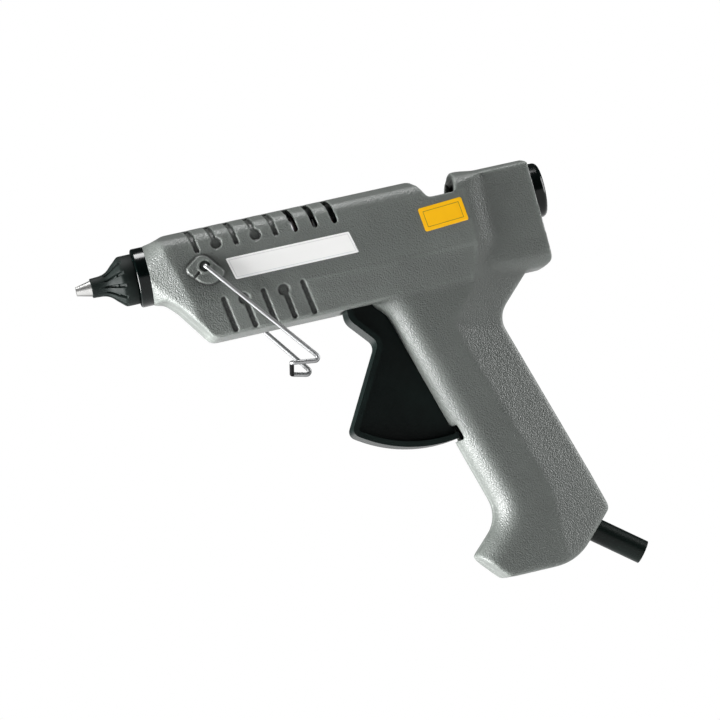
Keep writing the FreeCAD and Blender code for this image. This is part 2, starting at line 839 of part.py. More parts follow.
def stand_boss():
    """Raised rounded triangle with a ring round the stand's bore, on the left side."""
    plate_sketch = outline("boss_plate", "XZ", [
        ("-stand_x", "-stand_drop + boss_top", "boss_top_round"),
        ("-stand_x + boss_rear", "-stand_drop - boss_rear_drop", "boss_corner_round"),
        ("-stand_x", "-stand_drop - boss_low", "boss_low_round"),
        ("-stand_x - boss_front", "-stand_drop", "boss_corner_round"),
    ])
    plate = extrude("boss", plate_sketch, "body_half + boss_height", "-(body_half - 1)")
    slit = doc.addObject("Part::Box", "boss_slit_bar")
    bind(slit, Length="boss_front", Width="boss_height * 2", Height="boss_slit")
    hole = Vector(-value_of("stand_x"), -value_of("body_half + boss_height * 2"), -value_of("stand_drop"))
    turned = Placement(hole, Rotation(Vector(0, 1, 0), 180 - value_of("boss_slit_angle")))
    start = Vector(value_of("boss_slit_start"), 0, -value_of("boss_slit / 2"))
    slit.Placement = turned.multiply(Placement(start, Rotation()))
    plate = cut("slit_boss", plate, slit)
    ring = cylinder("boss_ring", "boss_ring", "boss_ring_height + 1", "-stand_x", "-(body_half - 1)",
                    "-stand_drop", Vector(0, -1, 0))
    return [plate, ring]


def ribs():
    """Inner ribs: saddles for the chamber mount, stick guides, the spring's shelf and the pivot's bosses."""
    solids = []
    for number, (start, bore) in enumerate((
            ("-rear_mount_x - rib", "rear_mount_radius - 2"),
            ("-rear_mount_x + rear_mount_length", "rear_mount_radius - 2"),
            ("-notch_rear + 0.6", "stick_bore + stick_clearance"),
            ("-ramp_end + 8", "stick_bore + stick_clearance")), start=1):
        low = "-rear_mount_radius - rib" if number < 3 else "-body_bottom"
        plate = box(f"rib_plate_{number}", (start, "-body_half", low),
                    (f"{start} + rib", "body_half", "top_height"))
        hole = cylinder(f"rib_hole_{number}", bore, "rib + 2", f"{start} - 1", axis=Vector(1, 0, 0))
        solids.append(cut(f"rib_{number}", plate, hole))
    shelf = box("spring_shelf", ("-spring_x - shelf_half", "-body_half", "-shelf_drop"),
                ("-spring_x + shelf_half", "body_half", "-shelf_drop + shelf_thick"))
    boss = cross_bar("pivot_boss", "pivot_boss", "grip_half", "-pivot_x", "-pivot_drop")
    gap = cross_bar("pivot_boss_gap", "pivot_boss + 1", "hub_half + trigger_gap / 2", "-pivot_x", "-pivot_drop")
    rail_top = "-carriage_down - slide_gap"
    rail = box("rails", ("-rail_start", "-body_half", f"{rail_top} - rail_thick"),
               ("-rail_end", "-rail_in", rail_top))
    solids += [shelf, cut("pivot_bosses", boss, gap), rail]
    for name in HOUSING_SCREWS:
        x, drop = f"screw_{name}_x", f"screw_{name}_drop"
        solids.append(cross_bar(f"column_{name}", "screw_column", "body_half", f"-{x}", f"-{drop}"))
    return solids


def clamp_posts():
    """Posts on the left half that carry the cord clamp and the terminal block."""
    spots = [clamp_spot("-clamp_screw_half"), clamp_spot("clamp_screw_half"), ("-block_x", "-block_drop")]
    tops = ["clamp_bar_base", "clamp_bar_base", "-block_deep / 2"]
    return [cylinder(f"post_{number}", "post_radius", f"grip_half + ({top})", x, top, z, Vector(0, -1, 0))
            for number, ((x, z), top) in enumerate(zip(spots, tops), start=1)]


def clamp_spot(across):
    """Place of a point of the cord clamp, at a distance across the cord from its axis."""
    return (f"-cable_x - clamp_bar_in * cos(sleeve_angle) + ({across}) * sin(sleeve_angle)",
            f"-cable_drop + clamp_bar_in * sin(sleeve_angle) + ({across}) * cos(sleeve_angle)")


def left_half(name, solid):
    """Return the part of a form that lies left of the mould's parting plane."""
    space = box(f"{name}_space", ("-reach", "-reach", "-reach"), ("reach", "0", "reach"))
    return common(f"{name}_left", solid, space)


def half_shell():
    """Left half of the housing before its screw holes."""
    outer = left_half("outer", housing_form("outer", "0"))
    inner = left_half("inner", housing_form("inner", "wall"))
    recess = left_half("recess", housing_form("recess", "recess_depth"))
    shallow, through = slots()
    ribbing = common("inner_ribs", fuse("rib_set", *ribs()), outer)
    spigot = left_half("spigot", cylinder("neck_spigot", "spigot_radius", "spigot_length + wall",
                                          "-neck_end - spigot_length", axis=Vector(1, 0, 0)))
    shell = cut("shell", outer, inner)
    whole = fuse("half_with_ribs", shell, ribbing, spigot, *stand_boss())
    pin_hole = cross_bar("pivot_pin_hole", "pivot_pin + running_gap / 5", "grip_half - wall",
                         "-pivot_x", "-pivot_drop")
    carved = common("slot_recesses", shallow, cut("outer_skin", outer, recess))
    return outer, cut("half_shell", whole, carved, through, pin_hole, *openings())


def housing():
    """Two moulded halves of the pistol housing."""
    outer, shell = half_shell()
    left = fuse("left_with_posts", shell, common("posts", fuse("post_set", *clamp_posts()), outer))
    right = mirrored("half_shell_right", shell)
    pilots, shanks = [], []
    for name in HOUSING_SCREWS:
        x, drop = f"screw_{name}_x", f"screw_{name}_drop"
        pilots.append(cylinder(f"pilot_{name}", "screw_shank", "screw_length", f"-{x}", "screw_length / 2",
                               f"-{drop}", Vector(0, -1, 0)))
        shanks.append(cylinder(f"clear_{name}", "screw_shank + fit_gap", "reach", f"-{x}", "0", f"-{drop}",
                               Vector(0, 1, 0)))
        shanks.append(cylinder(f"sink_{name}", "screw_head + fit_gap * 4", "reach", f"-{x}", head_seat(), f"-{drop}",
                               Vector(0, 1, 0)))
    for across in ("-clamp_screw_half", "clamp_screw_half"):
        x, z = clamp_spot(across)
        pilots.append(cylinder("clamp_pilot", "clamp_screw", "clamp_screw_long", x, "clamp_bar_base", z,
                               Vector(0, -1, 0)))
    piece(cut("housing_left_solid", left, *pilots), "housing_left")
    piece(cut("housing_right_solid", right, *shanks), "housing_right")


def head_seat():
    """Distance from the middle plane at which the housing screws' heads seat."""
    return "grip_half - wall - screw_head_depth - 4"


def housing_screws():
    """Self-tapping screws whose heads lie in counterbores on the right side."""
    solids = []
    for name in HOUSING_SCREWS:
        x, drop = f"screw_{name}_x", f"screw_{name}_drop"
        shank = cylinder(f"screw_shank_{name}", "screw_shank - fit_gap / 10", f"{head_seat()} + screw_length / 2",
                         f"-{x}", f"{head_seat()}", f"-{drop}", Vector(0, -1, 0))
        head = cylinder(f"screw_head_{name}", "screw_head", "screw_head_depth", f"-{x}", head_seat(), f"-{drop}",
                        Vector(0, 1, 0))
        cross = [box(f"screw_cross_{name}_{number}", (f"-{x} - {wide}", f"{head_seat()} + screw_head_depth - 1",
                                                      f"-{drop} - {tall}"),
                     (f"-{x} + {wide}", f"{head_seat()} + screw_head_depth + 1", f"-{drop} + {tall}"))
                 for number, (wide, tall) in enumerate((("1.7", "0.35"), ("0.35", "1.7")))]
        solids.append(cut(f"screw_{name}", fuse(f"screw_solid_{name}", shank, head), *cross))
    piece(fuse("housing_screws", *solids), "housing_screws")


# ---------------------------------------------------------------- nozzle, cap and collar
def coil(name, radius, wire, length, turns):
    """Return a coil spring along Z that starts at its own origin."""
    helix = doc.addObject("Part::Helix", f"{name}_path")
    bind(helix, Radius=radius, Height=length, Pitch=f"({length}) / ({turns})")
    ring = doc.addObject("Part::Circle", f"{name}_section")
    bind(ring, Radius=wire)
    at(ring, radius, rotation=Rotation(Vector(1, 0, 0), 90))
    spring = doc.addObject("Part::Sweep", name)
    spring.Sections = [ring]
    spring.Spine = (helix, ["Edge1"])
    spring.Solid = True
    spring.Frenet = True
    return spring


def nozzle():
    """Brass nozzle with its ball valve, the rubber cap over it and the collar that holds the cap."""
    piece(lathe("nozzle_turning", [
        ("-tip_face", "nozzle_orifice"),
        ("-tip_face", "nozzle_tip_radius"),
        ("-cone_end", "nozzle_cone_radius"),
        ("-cone_base", "nozzle_cone_radius"),
        ("-cone_base + 1.3", "nozzle_body_radius"),
        ("-skirt_face", "nozzle_body_radius"),
        ("-skirt_face", "nozzle_skirt_radius"),
        ("-shoulder_face", "nozzle_skirt_radius"),
        ("-shoulder_face", "thread_radius + running_gap"),
        ("-thread_tip - fit_gap", "thread_radius + running_gap"),
        ("-thread_tip - fit_gap", "seat_bore"),
        ("-seat_face", "seat_bore"),
        ("-seat_face", "ball_chamber"),
        ("-valve_face", "ball_chamber"),
        ("-valve_face - ball_chamber + nozzle_orifice", "nozzle_orifice"),
    ]), "nozzle")
    ball = doc.addObject("Part::Sphere", "valve_ball_solid")
    bind(ball, Radius="ball_radius")
    seat = "sqrt(ball_radius * ball_radius - seat_bore * seat_bore) + running_gap"
    piece(at(ball, f"-seat_face - ({seat})"), "valve_ball")
    length = "valve_face - seat_face - ball_radius - valve_wire * 2"
    spring = coil("valve_spring_coil", "spring_radius", "valve_wire", length, "valve_turns")
    piece(at(spring, "-valve_face + valve_wire", rotation=Rotation(Vector(0, 0, 1), Vector(1, 0, 0))),
          "valve_spring")


def cap_flutes():
    """Tapered flutes down the cap's flare, evenly spaced round it."""
    run, rise = "cap_waist", "(cap_radius - cap_waist_radius)"
    flare = f"sqrt(cap_waist * cap_waist + {rise} * {rise})"
    lift = "(cap_groove_radius - cap_groove_depth)"
    x = f"-cap_neck - {lift} * {rise} / {flare}"
    out = f"(cap_waist_radius + {lift} * {run} / {flare})"
    slope = math.atan2(value_of(rise), value_of(run))
    flutes = []
    for number in range(int(value_of("cap_grooves"))):
        turn = f"({number} * 360 / cap_grooves)"
        angle = math.radians(value_of(turn))
        along = Vector(math.cos(slope), math.sin(slope) * math.sin(angle), math.sin(slope) * math.cos(angle))
        flute = doc.addObject("Part::Cone", f"cap_flute_{number + 1}")
        bind(flute, Radius1="cap_groove_front", Radius2="cap_groove_radius", Height=f"{flare} - cap_groove_end")
        lean = Rotation(Vector(0, 0, 1), along)
        flutes.append(at(flute, x, f"{out} * sin({turn})", f"{out} * cos({turn})", lean))
    return flutes


def cap():
    """Black rubber cap with a fluted shoulder, and the glossy collar behind it."""
    body = lathe("cap_turning", [
        ("-cap_mouth", "nozzle_cone_radius + fit_gap"),
        ("-cap_mouth", "cap_front_radius"),
        ("-cap_neck", "cap_waist_radius", "cap_waist_round"),
        ("-cap_rim", "cap_radius", "0.8"),
        ("-cap_rear", "cap_radius"),
        ("-cap_rear", "cap_sleeve_radius"),
        ("-cap_sleeve_rear", "cap_sleeve_radius"),
        ("-cap_sleeve_rear", "nozzle_skirt_radius + fit_gap"),
        ("-skirt_face - fit_gap", "nozzle_skirt_radius + fit_gap"),
        ("-skirt_face - fit_gap", "nozzle_body_radius + fit_gap"),
        ("-cone_base + 1.2", "nozzle_body_radius + fit_gap"),
        ("-cone_base - 0.1", "nozzle_cone_radius + fit_gap"),
    ])
    piece(cut("cap_solid", body, *cap_flutes()), "nozzle_cap")
    piece(lathe("collar_turning", [
        ("-collar_face", "spigot_bore"),
        ("-collar_face", "collar_radius", "1"),
        ("-neck_end", "collar_radius"),
        ("-neck_end", "spigot_radius"),
        ("-collar_face + collar_lip", "spigot_radius"),
        ("-collar_face + collar_lip", "spigot_bore"),
    ]), "collar")


# ---------------------------------------------------------------- melting chamber
def chamber():
    """Aluminium melting chamber that the nozzle screws on to."""
    body = lathe("chamber_turning", [
        ("-thread_tip", "melt_bore"),
        ("-thread_tip", "thread_radius"),
        ("-shoulder_face", "thread_radius"),
        ("-shoulder_face", "shoulder_radius"),
        ("-chamber_face", "shoulder_radius"),
        ("-chamber_face", "chamber_radius", "chamber_edge"),
        ("-chamber_end", "chamber_radius", "chamber_edge"),
        ("-chamber_end", "chamber_tail_radius"),
        ("-chamber_tail", "chamber_tail_radius"),
        ("-chamber_tail", "chamber_bore"),
        ("-heater_end", "stick_seat"),
        ("-heater_start", "melt_bore_mid"),
    ])
    flats = []
    for name, low, high in (("left", "-reach", "-heater_flat"), ("right", "heater_flat", "reach")):
        flats.append(box(f"flat_{name}", ("-heater_start - fit_gap", low, "-heater_wide / 2 - fit_gap"),
                         ("-heater_end + fit_gap", high, "heater_wide / 2 + fit_gap")))
    flats.append(box("flat_top", ("-thermostat_x - thermostat_radius - fit_gap", "-thermostat_radius",
                                  "thermostat_seat"),
                     ("-thermostat_x + thermostat_radius + fit_gap", "thermostat_radius", "reach")))
    piece(cut("chamber_solid", body, *flats), "melt_chamber")
    piece(cylinder("thermostat_can", "thermostat_radius", "thermostat_height", "-thermostat_x", "0",
                   "thermostat_seat"), "thermostat")


def heaters():
    """Heating strips on the chamber's flats and the spring clips that press them on."""
    for name, low, high in (("left", "-heater_flat - heater_thick", "-heater_flat"),
                            ("right", "heater_flat", "heater_flat + heater_thick")):
        piece(box(f"strip_{name}", ("-heater_start", low, "-heater_wide / 2"),
                  ("-heater_end", high, "heater_wide / 2")), f"heater_{name}")
    bands = []
    for name, place in (("front", "clip_front"), ("rear", "clip_rear")):
        side, top = "(heater_flat + heater_thick)", "chamber_radius"
        hoop = [(f"-{side}", f"-{top}"), (side, f"-{top}"), (side, top), (f"-{side}", top)]
        inner = outline(f"clip_in_{name}", "YZ", [(*spot, "clip_round") for spot in hoop],
                        x=f"-{place} - clip_wide / 2")
        ring = [(f"{sign}({side} + clip_thick)", f"{rise}({top} + clip_thick)", "clip_round + clip_thick")
                for sign, rise in (("-", "-"), ("", "-"), ("", ""), ("-", ""))]
        outer = outline(f"clip_out_{name}", "YZ", ring, x=f"-{place} - clip_wide / 2")
        bands.append(cut(f"clip_{name}", extrude(f"clip_band_{name}", outer, "clip_wide"),
                         extrude(f"clip_hole_{name}", inner, "clip_wide"),
                         box(f"clip_gap_{name}", ("-reach", "-clip_open", "-reach"), ("0", "clip_open", "0"))))
    piece(fuse("clip_pair", *bands), "heater_clips")


def mounts():
    """Rings that hold the chamber in the housing, and the sleeve that guides the stick into it."""
    piece(lathe("front_mount_turning", [
        ("-neck_end + wall", "shoulder_radius"),
        ("-neck_end + wall", "front_mount_radius"),
        ("-mount_rear", "front_mount_radius"),
        ("-mount_rear", "shoulder_radius"),
    ]), "front_mount")
    piece(lathe("rear_mount_turning", [
        ("-rear_mount_x", "chamber_radius"),
        ("-rear_mount_x", "rear_mount_radius"),
        ("-rear_mount_x + rear_mount_length", "rear_mount_radius"),
        ("-rear_mount_x + rear_mount_length", "chamber_radius"),
    ]), "rear_mount")
    piece(lathe("inlet_turning", [
        ("-chamber_end", "chamber_tail_radius"),
        ("-chamber_end", "sleeve_radius"),
        ("-sleeve_end", "sleeve_radius", "1"),
        ("-sleeve_end", "chamber_bore"),
        ("-sleeve_end - 2", "sleeve_lip"),
        ("-sleeve_lip_start", "sleeve_lip"),
        ("-sleeve_lip_start", "chamber_tail_radius"),
    ]), "inlet_sleeve")
    ring = doc.addObject("Part::Torus", "sleeve_ring")
    bind(ring, Radius1="sleeve_radius + sleeve_clip_wire", Radius2="sleeve_clip_wire")
    piece(at(ring, "-sleeve_clip_x", rotation=Rotation(Vector(0, 1, 0), 90)), "sleeve_clip")


# ---------------------------------------------------------------- trigger and stick feed
def tangent_point(angle, run):
    """Point on a tangent of the trigger's lower arc, a run away from where it touches the arc."""
    x = f"-pivot_x - trigger_arc * sin({angle}) + ({run}) * cos({angle})"
    z = f"-pivot_drop - trigger_arc * cos({angle}) - ({run}) * sin({angle})"
    return x, z


def trigger_profile():
    """Corners of the trigger's silhouette."""
    front, rear = "(trigger_arc_mid + trigger_arc_half)", "(trigger_arc_mid - trigger_arc_half)"
    vertex = (f"-pivot_x - trigger_arc / cos(trigger_arc_half) * sin(trigger_arc_mid)",
              f"-pivot_drop - trigger_arc / cos(trigger_arc_half) * cos(trigger_arc_mid)", "trigger_arc")
    return [
        ("-trigger_brow", "-trigger_top_drop"),
        ("-trigger_brow", "-trigger_brow_drop", "brow_round"),
        ("-trigger_waist", "-trigger_waist_drop", "waist_round"),
        (*tangent_point(front, "-toe_run"), "toe_round"),
        vertex,
        tangent_point(rear, "1"),
        ("-pivot_x + hub_radius / 2", "-pivot_drop - hub_radius"),
        ("-pivot_x", "-pivot_drop + hub_radius"),
        ("-trigger_neck_back", "-trigger_top_drop"),
    ]


def trigger():
    """Trigger of T section: a web with a wide front and bottom rim, a forked arm and a spring lug."""
    corners = trigger_profile()
    web = slab("trigger_web_plate", corners, "trigger_web")
    full = slab("trigger_full", corners, "trigger_half")
    behind = corners[:5] + [tangent_point("(trigger_arc_mid - trigger_arc_half)", "20"),
                            ("-pivot_x + 30", "0"), ("-trigger_brow", "0")]
    inner = shrunk("trigger_inside", outline("trigger_behind", "XZ", behind), "trigger_rim")
    hollow = extrude("trigger_hollow", inner, "trigger_half + 1", "trigger_half + 1")
    rim = cut("trigger_rim_plate", full, hollow)
    hub = cross_bar("trigger_hub", "hub_radius", "hub_half", "-pivot_x", "-pivot_drop")
    lug = box("spring_lug", ("-pivot_x", "-hub_half", "-pivot_drop - lug_thick / 2"),
              ("-pivot_x + lug_reach + 0.5", "hub_half", "-pivot_drop + lug_thick / 2"))
    solid = fuse("trigger_body", rim, web, hub, lug, trigger_arm())
    bore = cross_bar("trigger_bore", "pivot_pin + running_gap", "reach / 2", "-pivot_x", "-pivot_drop")
    piece(cut("trigger_solid", solid, bore), "trigger")


def trigger_arm():
    """Forked arm above the pivot that pushes the carriage's pin."""
    arm = doc.addObject("Part::Box", "arm_bar")
    length = "link_height / cos(arm_lean) + arm_end"
    bind(arm, Length="2 * arm_half_width", Width="2 * trigger_web", Height=length)
    fork = doc.addObject("Part::Box", "fork_slot")
    width = "2 * (link_pin + link_gap)"
    bind(fork, Length=width, Width="reach", Height="reach")
    lean = Placement(Vector(-value_of("pivot_x"), 0, -value_of("pivot_drop")),
                     Rotation(Vector(0, 1, 0), value_of("arm_lean")))
    arm.Placement = lean.multiply(Placement(Vector(-value_of("arm_half_width"), -value_of("trigger_web"), 0),
                                            Rotation()))
    bottom = value_of("link_height - link_pin - link_gap - 0.2")
    fork.Placement = lean.multiply(Placement(Vector(-value_of(width) / 2, -value_of("reach") / 2, bottom),
                                             Rotation()))
    return cut("forked_arm", arm, fork)


def link_place():
    """Place of the carriage's pin at rest, above the trigger's pivot."""
    return "-pivot_x + link_height * tan(arm_lean)", "-pivot_drop + link_height"


def carriage():
    """Sliding carriage round the stick, with the pin that the trigger's fork drives."""
    block = box("carriage_block", ("-carriage_front", "-carriage_half", "-carriage_down"),
                ("-carriage_end", "carriage_half", "carriage_up"))
    pin_x, pin_z = link_place()
    solids = [block]
    for side, low, high in (("left", "-carriage_lug_in - carriage_lug_thick", "-carriage_lug_in"),
                            ("right", "carriage_lug_in", "carriage_lug_in + carriage_lug_thick")):
        solids.append(box(f"lug_{side}", (f"{pin_x} - carriage_lug_half", low, "-carriage_lug_drop"),
                          (f"{pin_x} + carriage_lug_half", high, "-carriage_down")))
    for side, low, high in (("left", "-clamp_window - clamp_ear_thick", "-clamp_window"),
                            ("right", "clamp_window", "clamp_window + clamp_ear_thick")):
        solids.append(box(f"ear_{side}", ("-clamp_pin_x - clamp_hub", low, "0"),
                          ("-clamp_pin_x + clamp_hub", high, "clamp_ear_up")))
    bore = cylinder("carriage_bore", "stick_bore + stick_clearance", "carriage_front - carriage_end + 2",
                    "-carriage_front - 1", axis=Vector(1, 0, 0))
    window = box("carriage_window", ("-clamp_window_front", "-clamp_window", "0"),
                 ("-clamp_pin_x + clamp_hub + 0.6", "clamp_window", "reach"))
    link = cross_bar("link_hole", "link_pin", "reach / 2", pin_x, pin_z)
    hinge = cross_bar("clamp_hole", "clamp_pin_radius", "reach / 2", "-clamp_pin_x", "clamp_pin_up")
    piece(cut("carriage_solid", fuse("carriage_body", *solids), bore, window, link, hinge), "carriage")
    piece(cross_bar("link_bar", "link_pin", "carriage_lug_in + carriage_lug_thick", pin_x, pin_z), "link_pin")
    piece(cross_bar("clamp_bar", "clamp_pin_radius", "clamp_window + clamp_ear_thick", "-clamp_pin_x",
                    "clamp_pin_up"), "clamp_pin")


def stick_clamp():
    """Toothed jaw that grips the stick while the carriage moves forward."""
    jaw = slab("jaw_plate", [
        ("-clamp_pin_x", "clamp_pin_up + clamp_hub"),
        ("-clamp_pin_x - clamp_reach", "clamp_pin_up + clamp_hub / 2"),
        ("-clamp_pin_x - clamp_reach", "clamp_tooth_up + 1.6"),
        ("-clamp_pin_x - clamp_reach + 1", "clamp_tooth_up"),
        ("-clamp_pin_x", "clamp_pin_up - clamp_hub"),
    ], "clamp_half")
    hub = cross_bar("jaw_hub", "clamp_hub", "clamp_half", "-clamp_pin_x", "clamp_pin_up")
    bore = cross_bar("jaw_bore", "clamp_pin_radius + running_gap", "reach / 2", "-clamp_pin_x", "clamp_pin_up")
    piece(cut("jaw_solid", fuse("jaw_body", jaw, hub), bore), "stick_clamp")


def return_spring():
    """Spring between the trigger's lug and the housing's shelf."""
    low = "-pivot_drop + lug_thick / 2 + return_wire"
    spring = coil("return_coil", "return_radius", "return_wire", f"-shelf_drop - return_wire - ({low})",
                  "return_turns")
    piece(at(spring, "-spring_x", "0", low), "return_spring")


def pivot_pin():
    """Pin on which the trigger turns."""
    pin = cross_bar("pivot_bar", "pivot_pin", "grip_half - wall - fit_gap", "-pivot_x", "-pivot_drop")
    piece(pin, "pivot_pin")


# ---------------------------------------------------------------- rear ring, cord fittings and stand
def rear_ring():
    """Glossy ring round the stick's inlet."""
    piece(lathe("ring_turning", [
        ("-ring_spigot_end", "stick_bore"),
        ("-ring_spigot_end", "ring_spigot"),
        ("-ring_flange", "ring_spigot"),
        ("-ring_flange", "ring_radius"),
        ("0", "ring_radius", "ring_round"),
        ("0", "stick_bore"),
    ]), "rear_ring")


def cord_fittings():
    """Cable sleeve, cord clamp with its screws, and terminal block."""
    tube = sleeve_bar("sleeve_tube", "cable_radius", "-cable_in", "cable_out")
    flange = sleeve_bar("sleeve_flange", "cable_flange", "-cable_in", "-cable_in + cable_flange_thick")
    bore = sleeve_bar("sleeve_bore", "cable_bore", "-cable_in - 1", "cable_out + 1")
    piece(cut("sleeve_solid", fuse("sleeve_body", tube, flange), bore), "cable_sleeve")
    bar = doc.addObject("Part::Box", "clamp_bar_block")
    bind(bar, Length="clamp_bar_wide", Width="clamp_bar_thick", Height="clamp_bar_long")
    turn = Rotation(Vector(0, 1, 0), value_of("sleeve_angle"))
    centre = Vector(*[value_of(text) for text in (clamp_spot("0")[0], "clamp_bar_base", clamp_spot("0")[1])])
    corner = Vector(-value_of("clamp_bar_wide") / 2, 0, -value_of("clamp_bar_long") / 2)
    bar.Placement = Placement(centre, turn).multiply(Placement(corner, Rotation()))
    groove = sleeve_bar("clamp_groove_bar", "clamp_groove", "-clamp_bar_in - clamp_bar_wide",
                        "-clamp_bar_in + clamp_bar_wide")
    screws, holes = [], []
    for name, across in (("low", "-clamp_screw_half"), ("high", "clamp_screw_half")):
        x, z = clamp_spot(across)
        seat = "clamp_bar_base + clamp_bar_thick"
        shank = cylinder(f"clamp_shank_{name}", "clamp_screw", "clamp_screw_long", x, seat, z,
                         Vector(0, -1, 0))
        head = cylinder(f"clamp_head_{name}", "clamp_screw_head", "screw_head_depth", x, seat, z,
                        Vector(0, 1, 0))
        screws.append(fuse(f"clamp_screw_{name}", shank, head))
        holes.append(cylinder(f"clamp_hole_{name}", "clamp_screw", "reach", x, "reach / 2", z,
                              Vector(0, -1, 0)))
    piece(cut("clamp_solid", bar, groove, *holes), "cord_clamp")
    piece(fuse("clamp_screw_pair", *screws), "clamp_screws")
    low = ("-block_x - block_wide / 2", "-block_deep / 2", "-block_drop - block_long / 2")
    high = ("-block_x + block_wide / 2", "block_deep / 2", "-block_drop + block_long / 2")
    piece(box("block_solid", low, high), "terminal_block")


def bent_path(spots, radii):
    """Wire through points with a tangent arc at each inner point."""
    edges, start = [], spots[0]
    for before, corner, after, radius in zip(spots, spots[1:], spots[2:], radii):
        centre, first, last = corner_arc(before, corner, after, radius)
        middle = centre + (corner - centre).normalize() * radius
        edges.append(Part.LineSegment(start, first).toShape())
        edges.append(Part.Arc(first, middle, last).toShape())
        start = last
    edges.append(Part.LineSegment(start, spots[-1]).toShape())
    return Part.Wire(edges)


def stand():
    """Bent wire stand that swings in the bosses near the front, its right leg bent a little longer."""
    inner, outer = "(body_half - stand_end)", "(body_half + stand_spread)"
    corners = [("0", f"-{inner}", "0"), ("0", f"-{outer}", "0"),
               ("stand_leg", f"-{outer}", "stand_leg_drop"), ("stand_toe", f"-{outer}", "stand_toe_drop"),
               ("stand_far_toe", outer, "stand_far_toe_drop"), ("stand_far_leg", outer, "stand_far_leg_drop"),
               ("0", outer, "0"), ("0", inner, "0")]
    spots = [Vector(value_of(f"-stand_x + {back}"), value_of(across), value_of(f"-stand_drop - {drop}"))
             for back, across, drop in corners]
    radii = [value_of("stand_elbow")] + [value_of("stand_bend")] * 4 + [value_of("stand_elbow")]
    path = bent_path(spots, radii)
    ring = Part.Wire(Part.Circle(spots[0], spots[1] - spots[0], value_of("stand_wire")).toShape())
    wire = doc.addObject("Part::Feature", "stand_solid")
    wire.Shape = path.makePipeShell([ring], True, False)
    wire.Placement = Placement()
    piece(wire, "stand_wire")


# ---------------------------------------------------------------- build, test and write
def check():
    """Stop if an object failed or a finished piece has no valid solid."""
    doc.recompute()
    for item in doc.Objects:
        if "Invalid" in item.State or "Error" in item.State:
            raise SystemExit(f"{item.Label} failed: {item.State}")
    for item in pieces:
        if item.Shape.isNull() or not item.Shape.isValid() or not item.Shape.Solids:
            raise SystemExit(f"{item.Label} has no valid solid")


def write():
    """Write each finished piece to its STEP file."""
    os.makedirs("parts", exist_ok=True)
    for item in pieces:
        item.Shape.exportStep(f"parts/{item.Label}.step")
        print(f"{item.Label}: {len(item.Shape.Solids)} solids, {item.Shape.Volume:.0f} mm3")


for build in (housing, housing_screws, nozzle, cap, chamber, heaters, mounts, trigger, carriage, stick_clamp,
              return_spring, pivot_pin, rear_ring, cord_fittings, stand):
    build()
check()
write()
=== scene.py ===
"""Looks for a hot melt glue gun: finishes, softened housing, fluted cap, trigger spring, labels and studio."""

import json
import logging
import math
from dataclasses import dataclass
from enum import Enum
from typing import Dict, List, Sequence, Tuple

import bpy
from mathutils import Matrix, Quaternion, Vector
from mathutils.bvhtree import BVHTree


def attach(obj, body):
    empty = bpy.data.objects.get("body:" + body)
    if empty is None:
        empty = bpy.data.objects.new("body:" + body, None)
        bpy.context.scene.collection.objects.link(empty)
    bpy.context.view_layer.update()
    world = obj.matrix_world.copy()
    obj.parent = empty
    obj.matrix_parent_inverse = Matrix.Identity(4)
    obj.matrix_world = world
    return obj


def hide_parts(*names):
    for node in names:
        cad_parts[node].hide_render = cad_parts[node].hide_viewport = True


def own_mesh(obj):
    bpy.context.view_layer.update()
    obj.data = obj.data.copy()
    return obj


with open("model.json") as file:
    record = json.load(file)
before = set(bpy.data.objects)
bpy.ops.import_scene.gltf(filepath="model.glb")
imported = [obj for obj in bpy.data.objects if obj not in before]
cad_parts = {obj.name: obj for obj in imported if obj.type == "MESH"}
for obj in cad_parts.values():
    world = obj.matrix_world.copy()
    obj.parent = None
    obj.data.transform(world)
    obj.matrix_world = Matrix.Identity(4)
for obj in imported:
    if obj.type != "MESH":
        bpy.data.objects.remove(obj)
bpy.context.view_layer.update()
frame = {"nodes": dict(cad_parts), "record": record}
LOG = logging.getLogger("glue_gun")

Colour = Tuple[float, float, float]
Point = Tuple[float, float, float]
Span = Tuple[float, float]

MM = 0.001
WELD = 0.001 * MM
SAME_PLACE = 0.01 * MM
FULL_SCALE = 255
GAMMA_FOOT = 0.04045
GAMMA_FOOT_SLOPE = 12.92
GAMMA_OFFSET = 0.055
GAMMA = 2.4
WEIGHT_STEPS = 20
WANDER_SCALE = 60
WANDER_DETAIL = 4
WANDER_BAND = (0.3, 0.7)
GLOSS_BAND = (0.85, 1.15)
FINE_DETAIL = 3
UNIT = (0.0, 1.0)


class Surface(Enum):
    """Kinds of finish that the gun's pieces are made in."""

    GRAINED = "grained"
    SATIN = "satin"
    POLISHED = "polished"
    RUBBER = "rubber"
    METAL = "metal"


def linear(red: int, green: int, blue: int) -> Colour:
    """Turn a display colour into the linear colour that shaders use.

    Args:
        red: Red from 0 to 255.
        green: Green from 0 to 255.
        blue: Blue from 0 to 255.

    Returns:
        The linear colour.
    """
    def channel(value: int) -> float:
        """Turn one channel.

        Args:
            value: The display value.

        Returns:
            The linear value.
        """
        share = value / FULL_SCALE
        if share <= GAMMA_FOOT:
            return share / GAMMA_FOOT_SLOPE
        return ((share + GAMMA_OFFSET) / (1 + GAMMA_OFFSET)) ** GAMMA

    return channel(red), channel(green), channel(blue)


def mapped(tree: bpy.types.NodeTree, source: bpy.types.NodeSocket, given: Span, wanted: Span) -> bpy.types.NodeSocket:
    """Map a value from one span onto another, and hold it there.

    Args:
        tree: The node tree.
        source: The value.
        given: Span that the value comes in.
        wanted: Span that it is mapped onto.

    Returns:
        The mapped value.
    """
    node = tree.nodes.new("ShaderNodeMapRange")
    for end, value in zip(("From Min", "From Max", "To Min", "To Max"), (*given, *wanted)):
        node.inputs[end].default_value = value
    tree.links.new(source, node.inputs["Value"])
    return node.outputs["Result"]


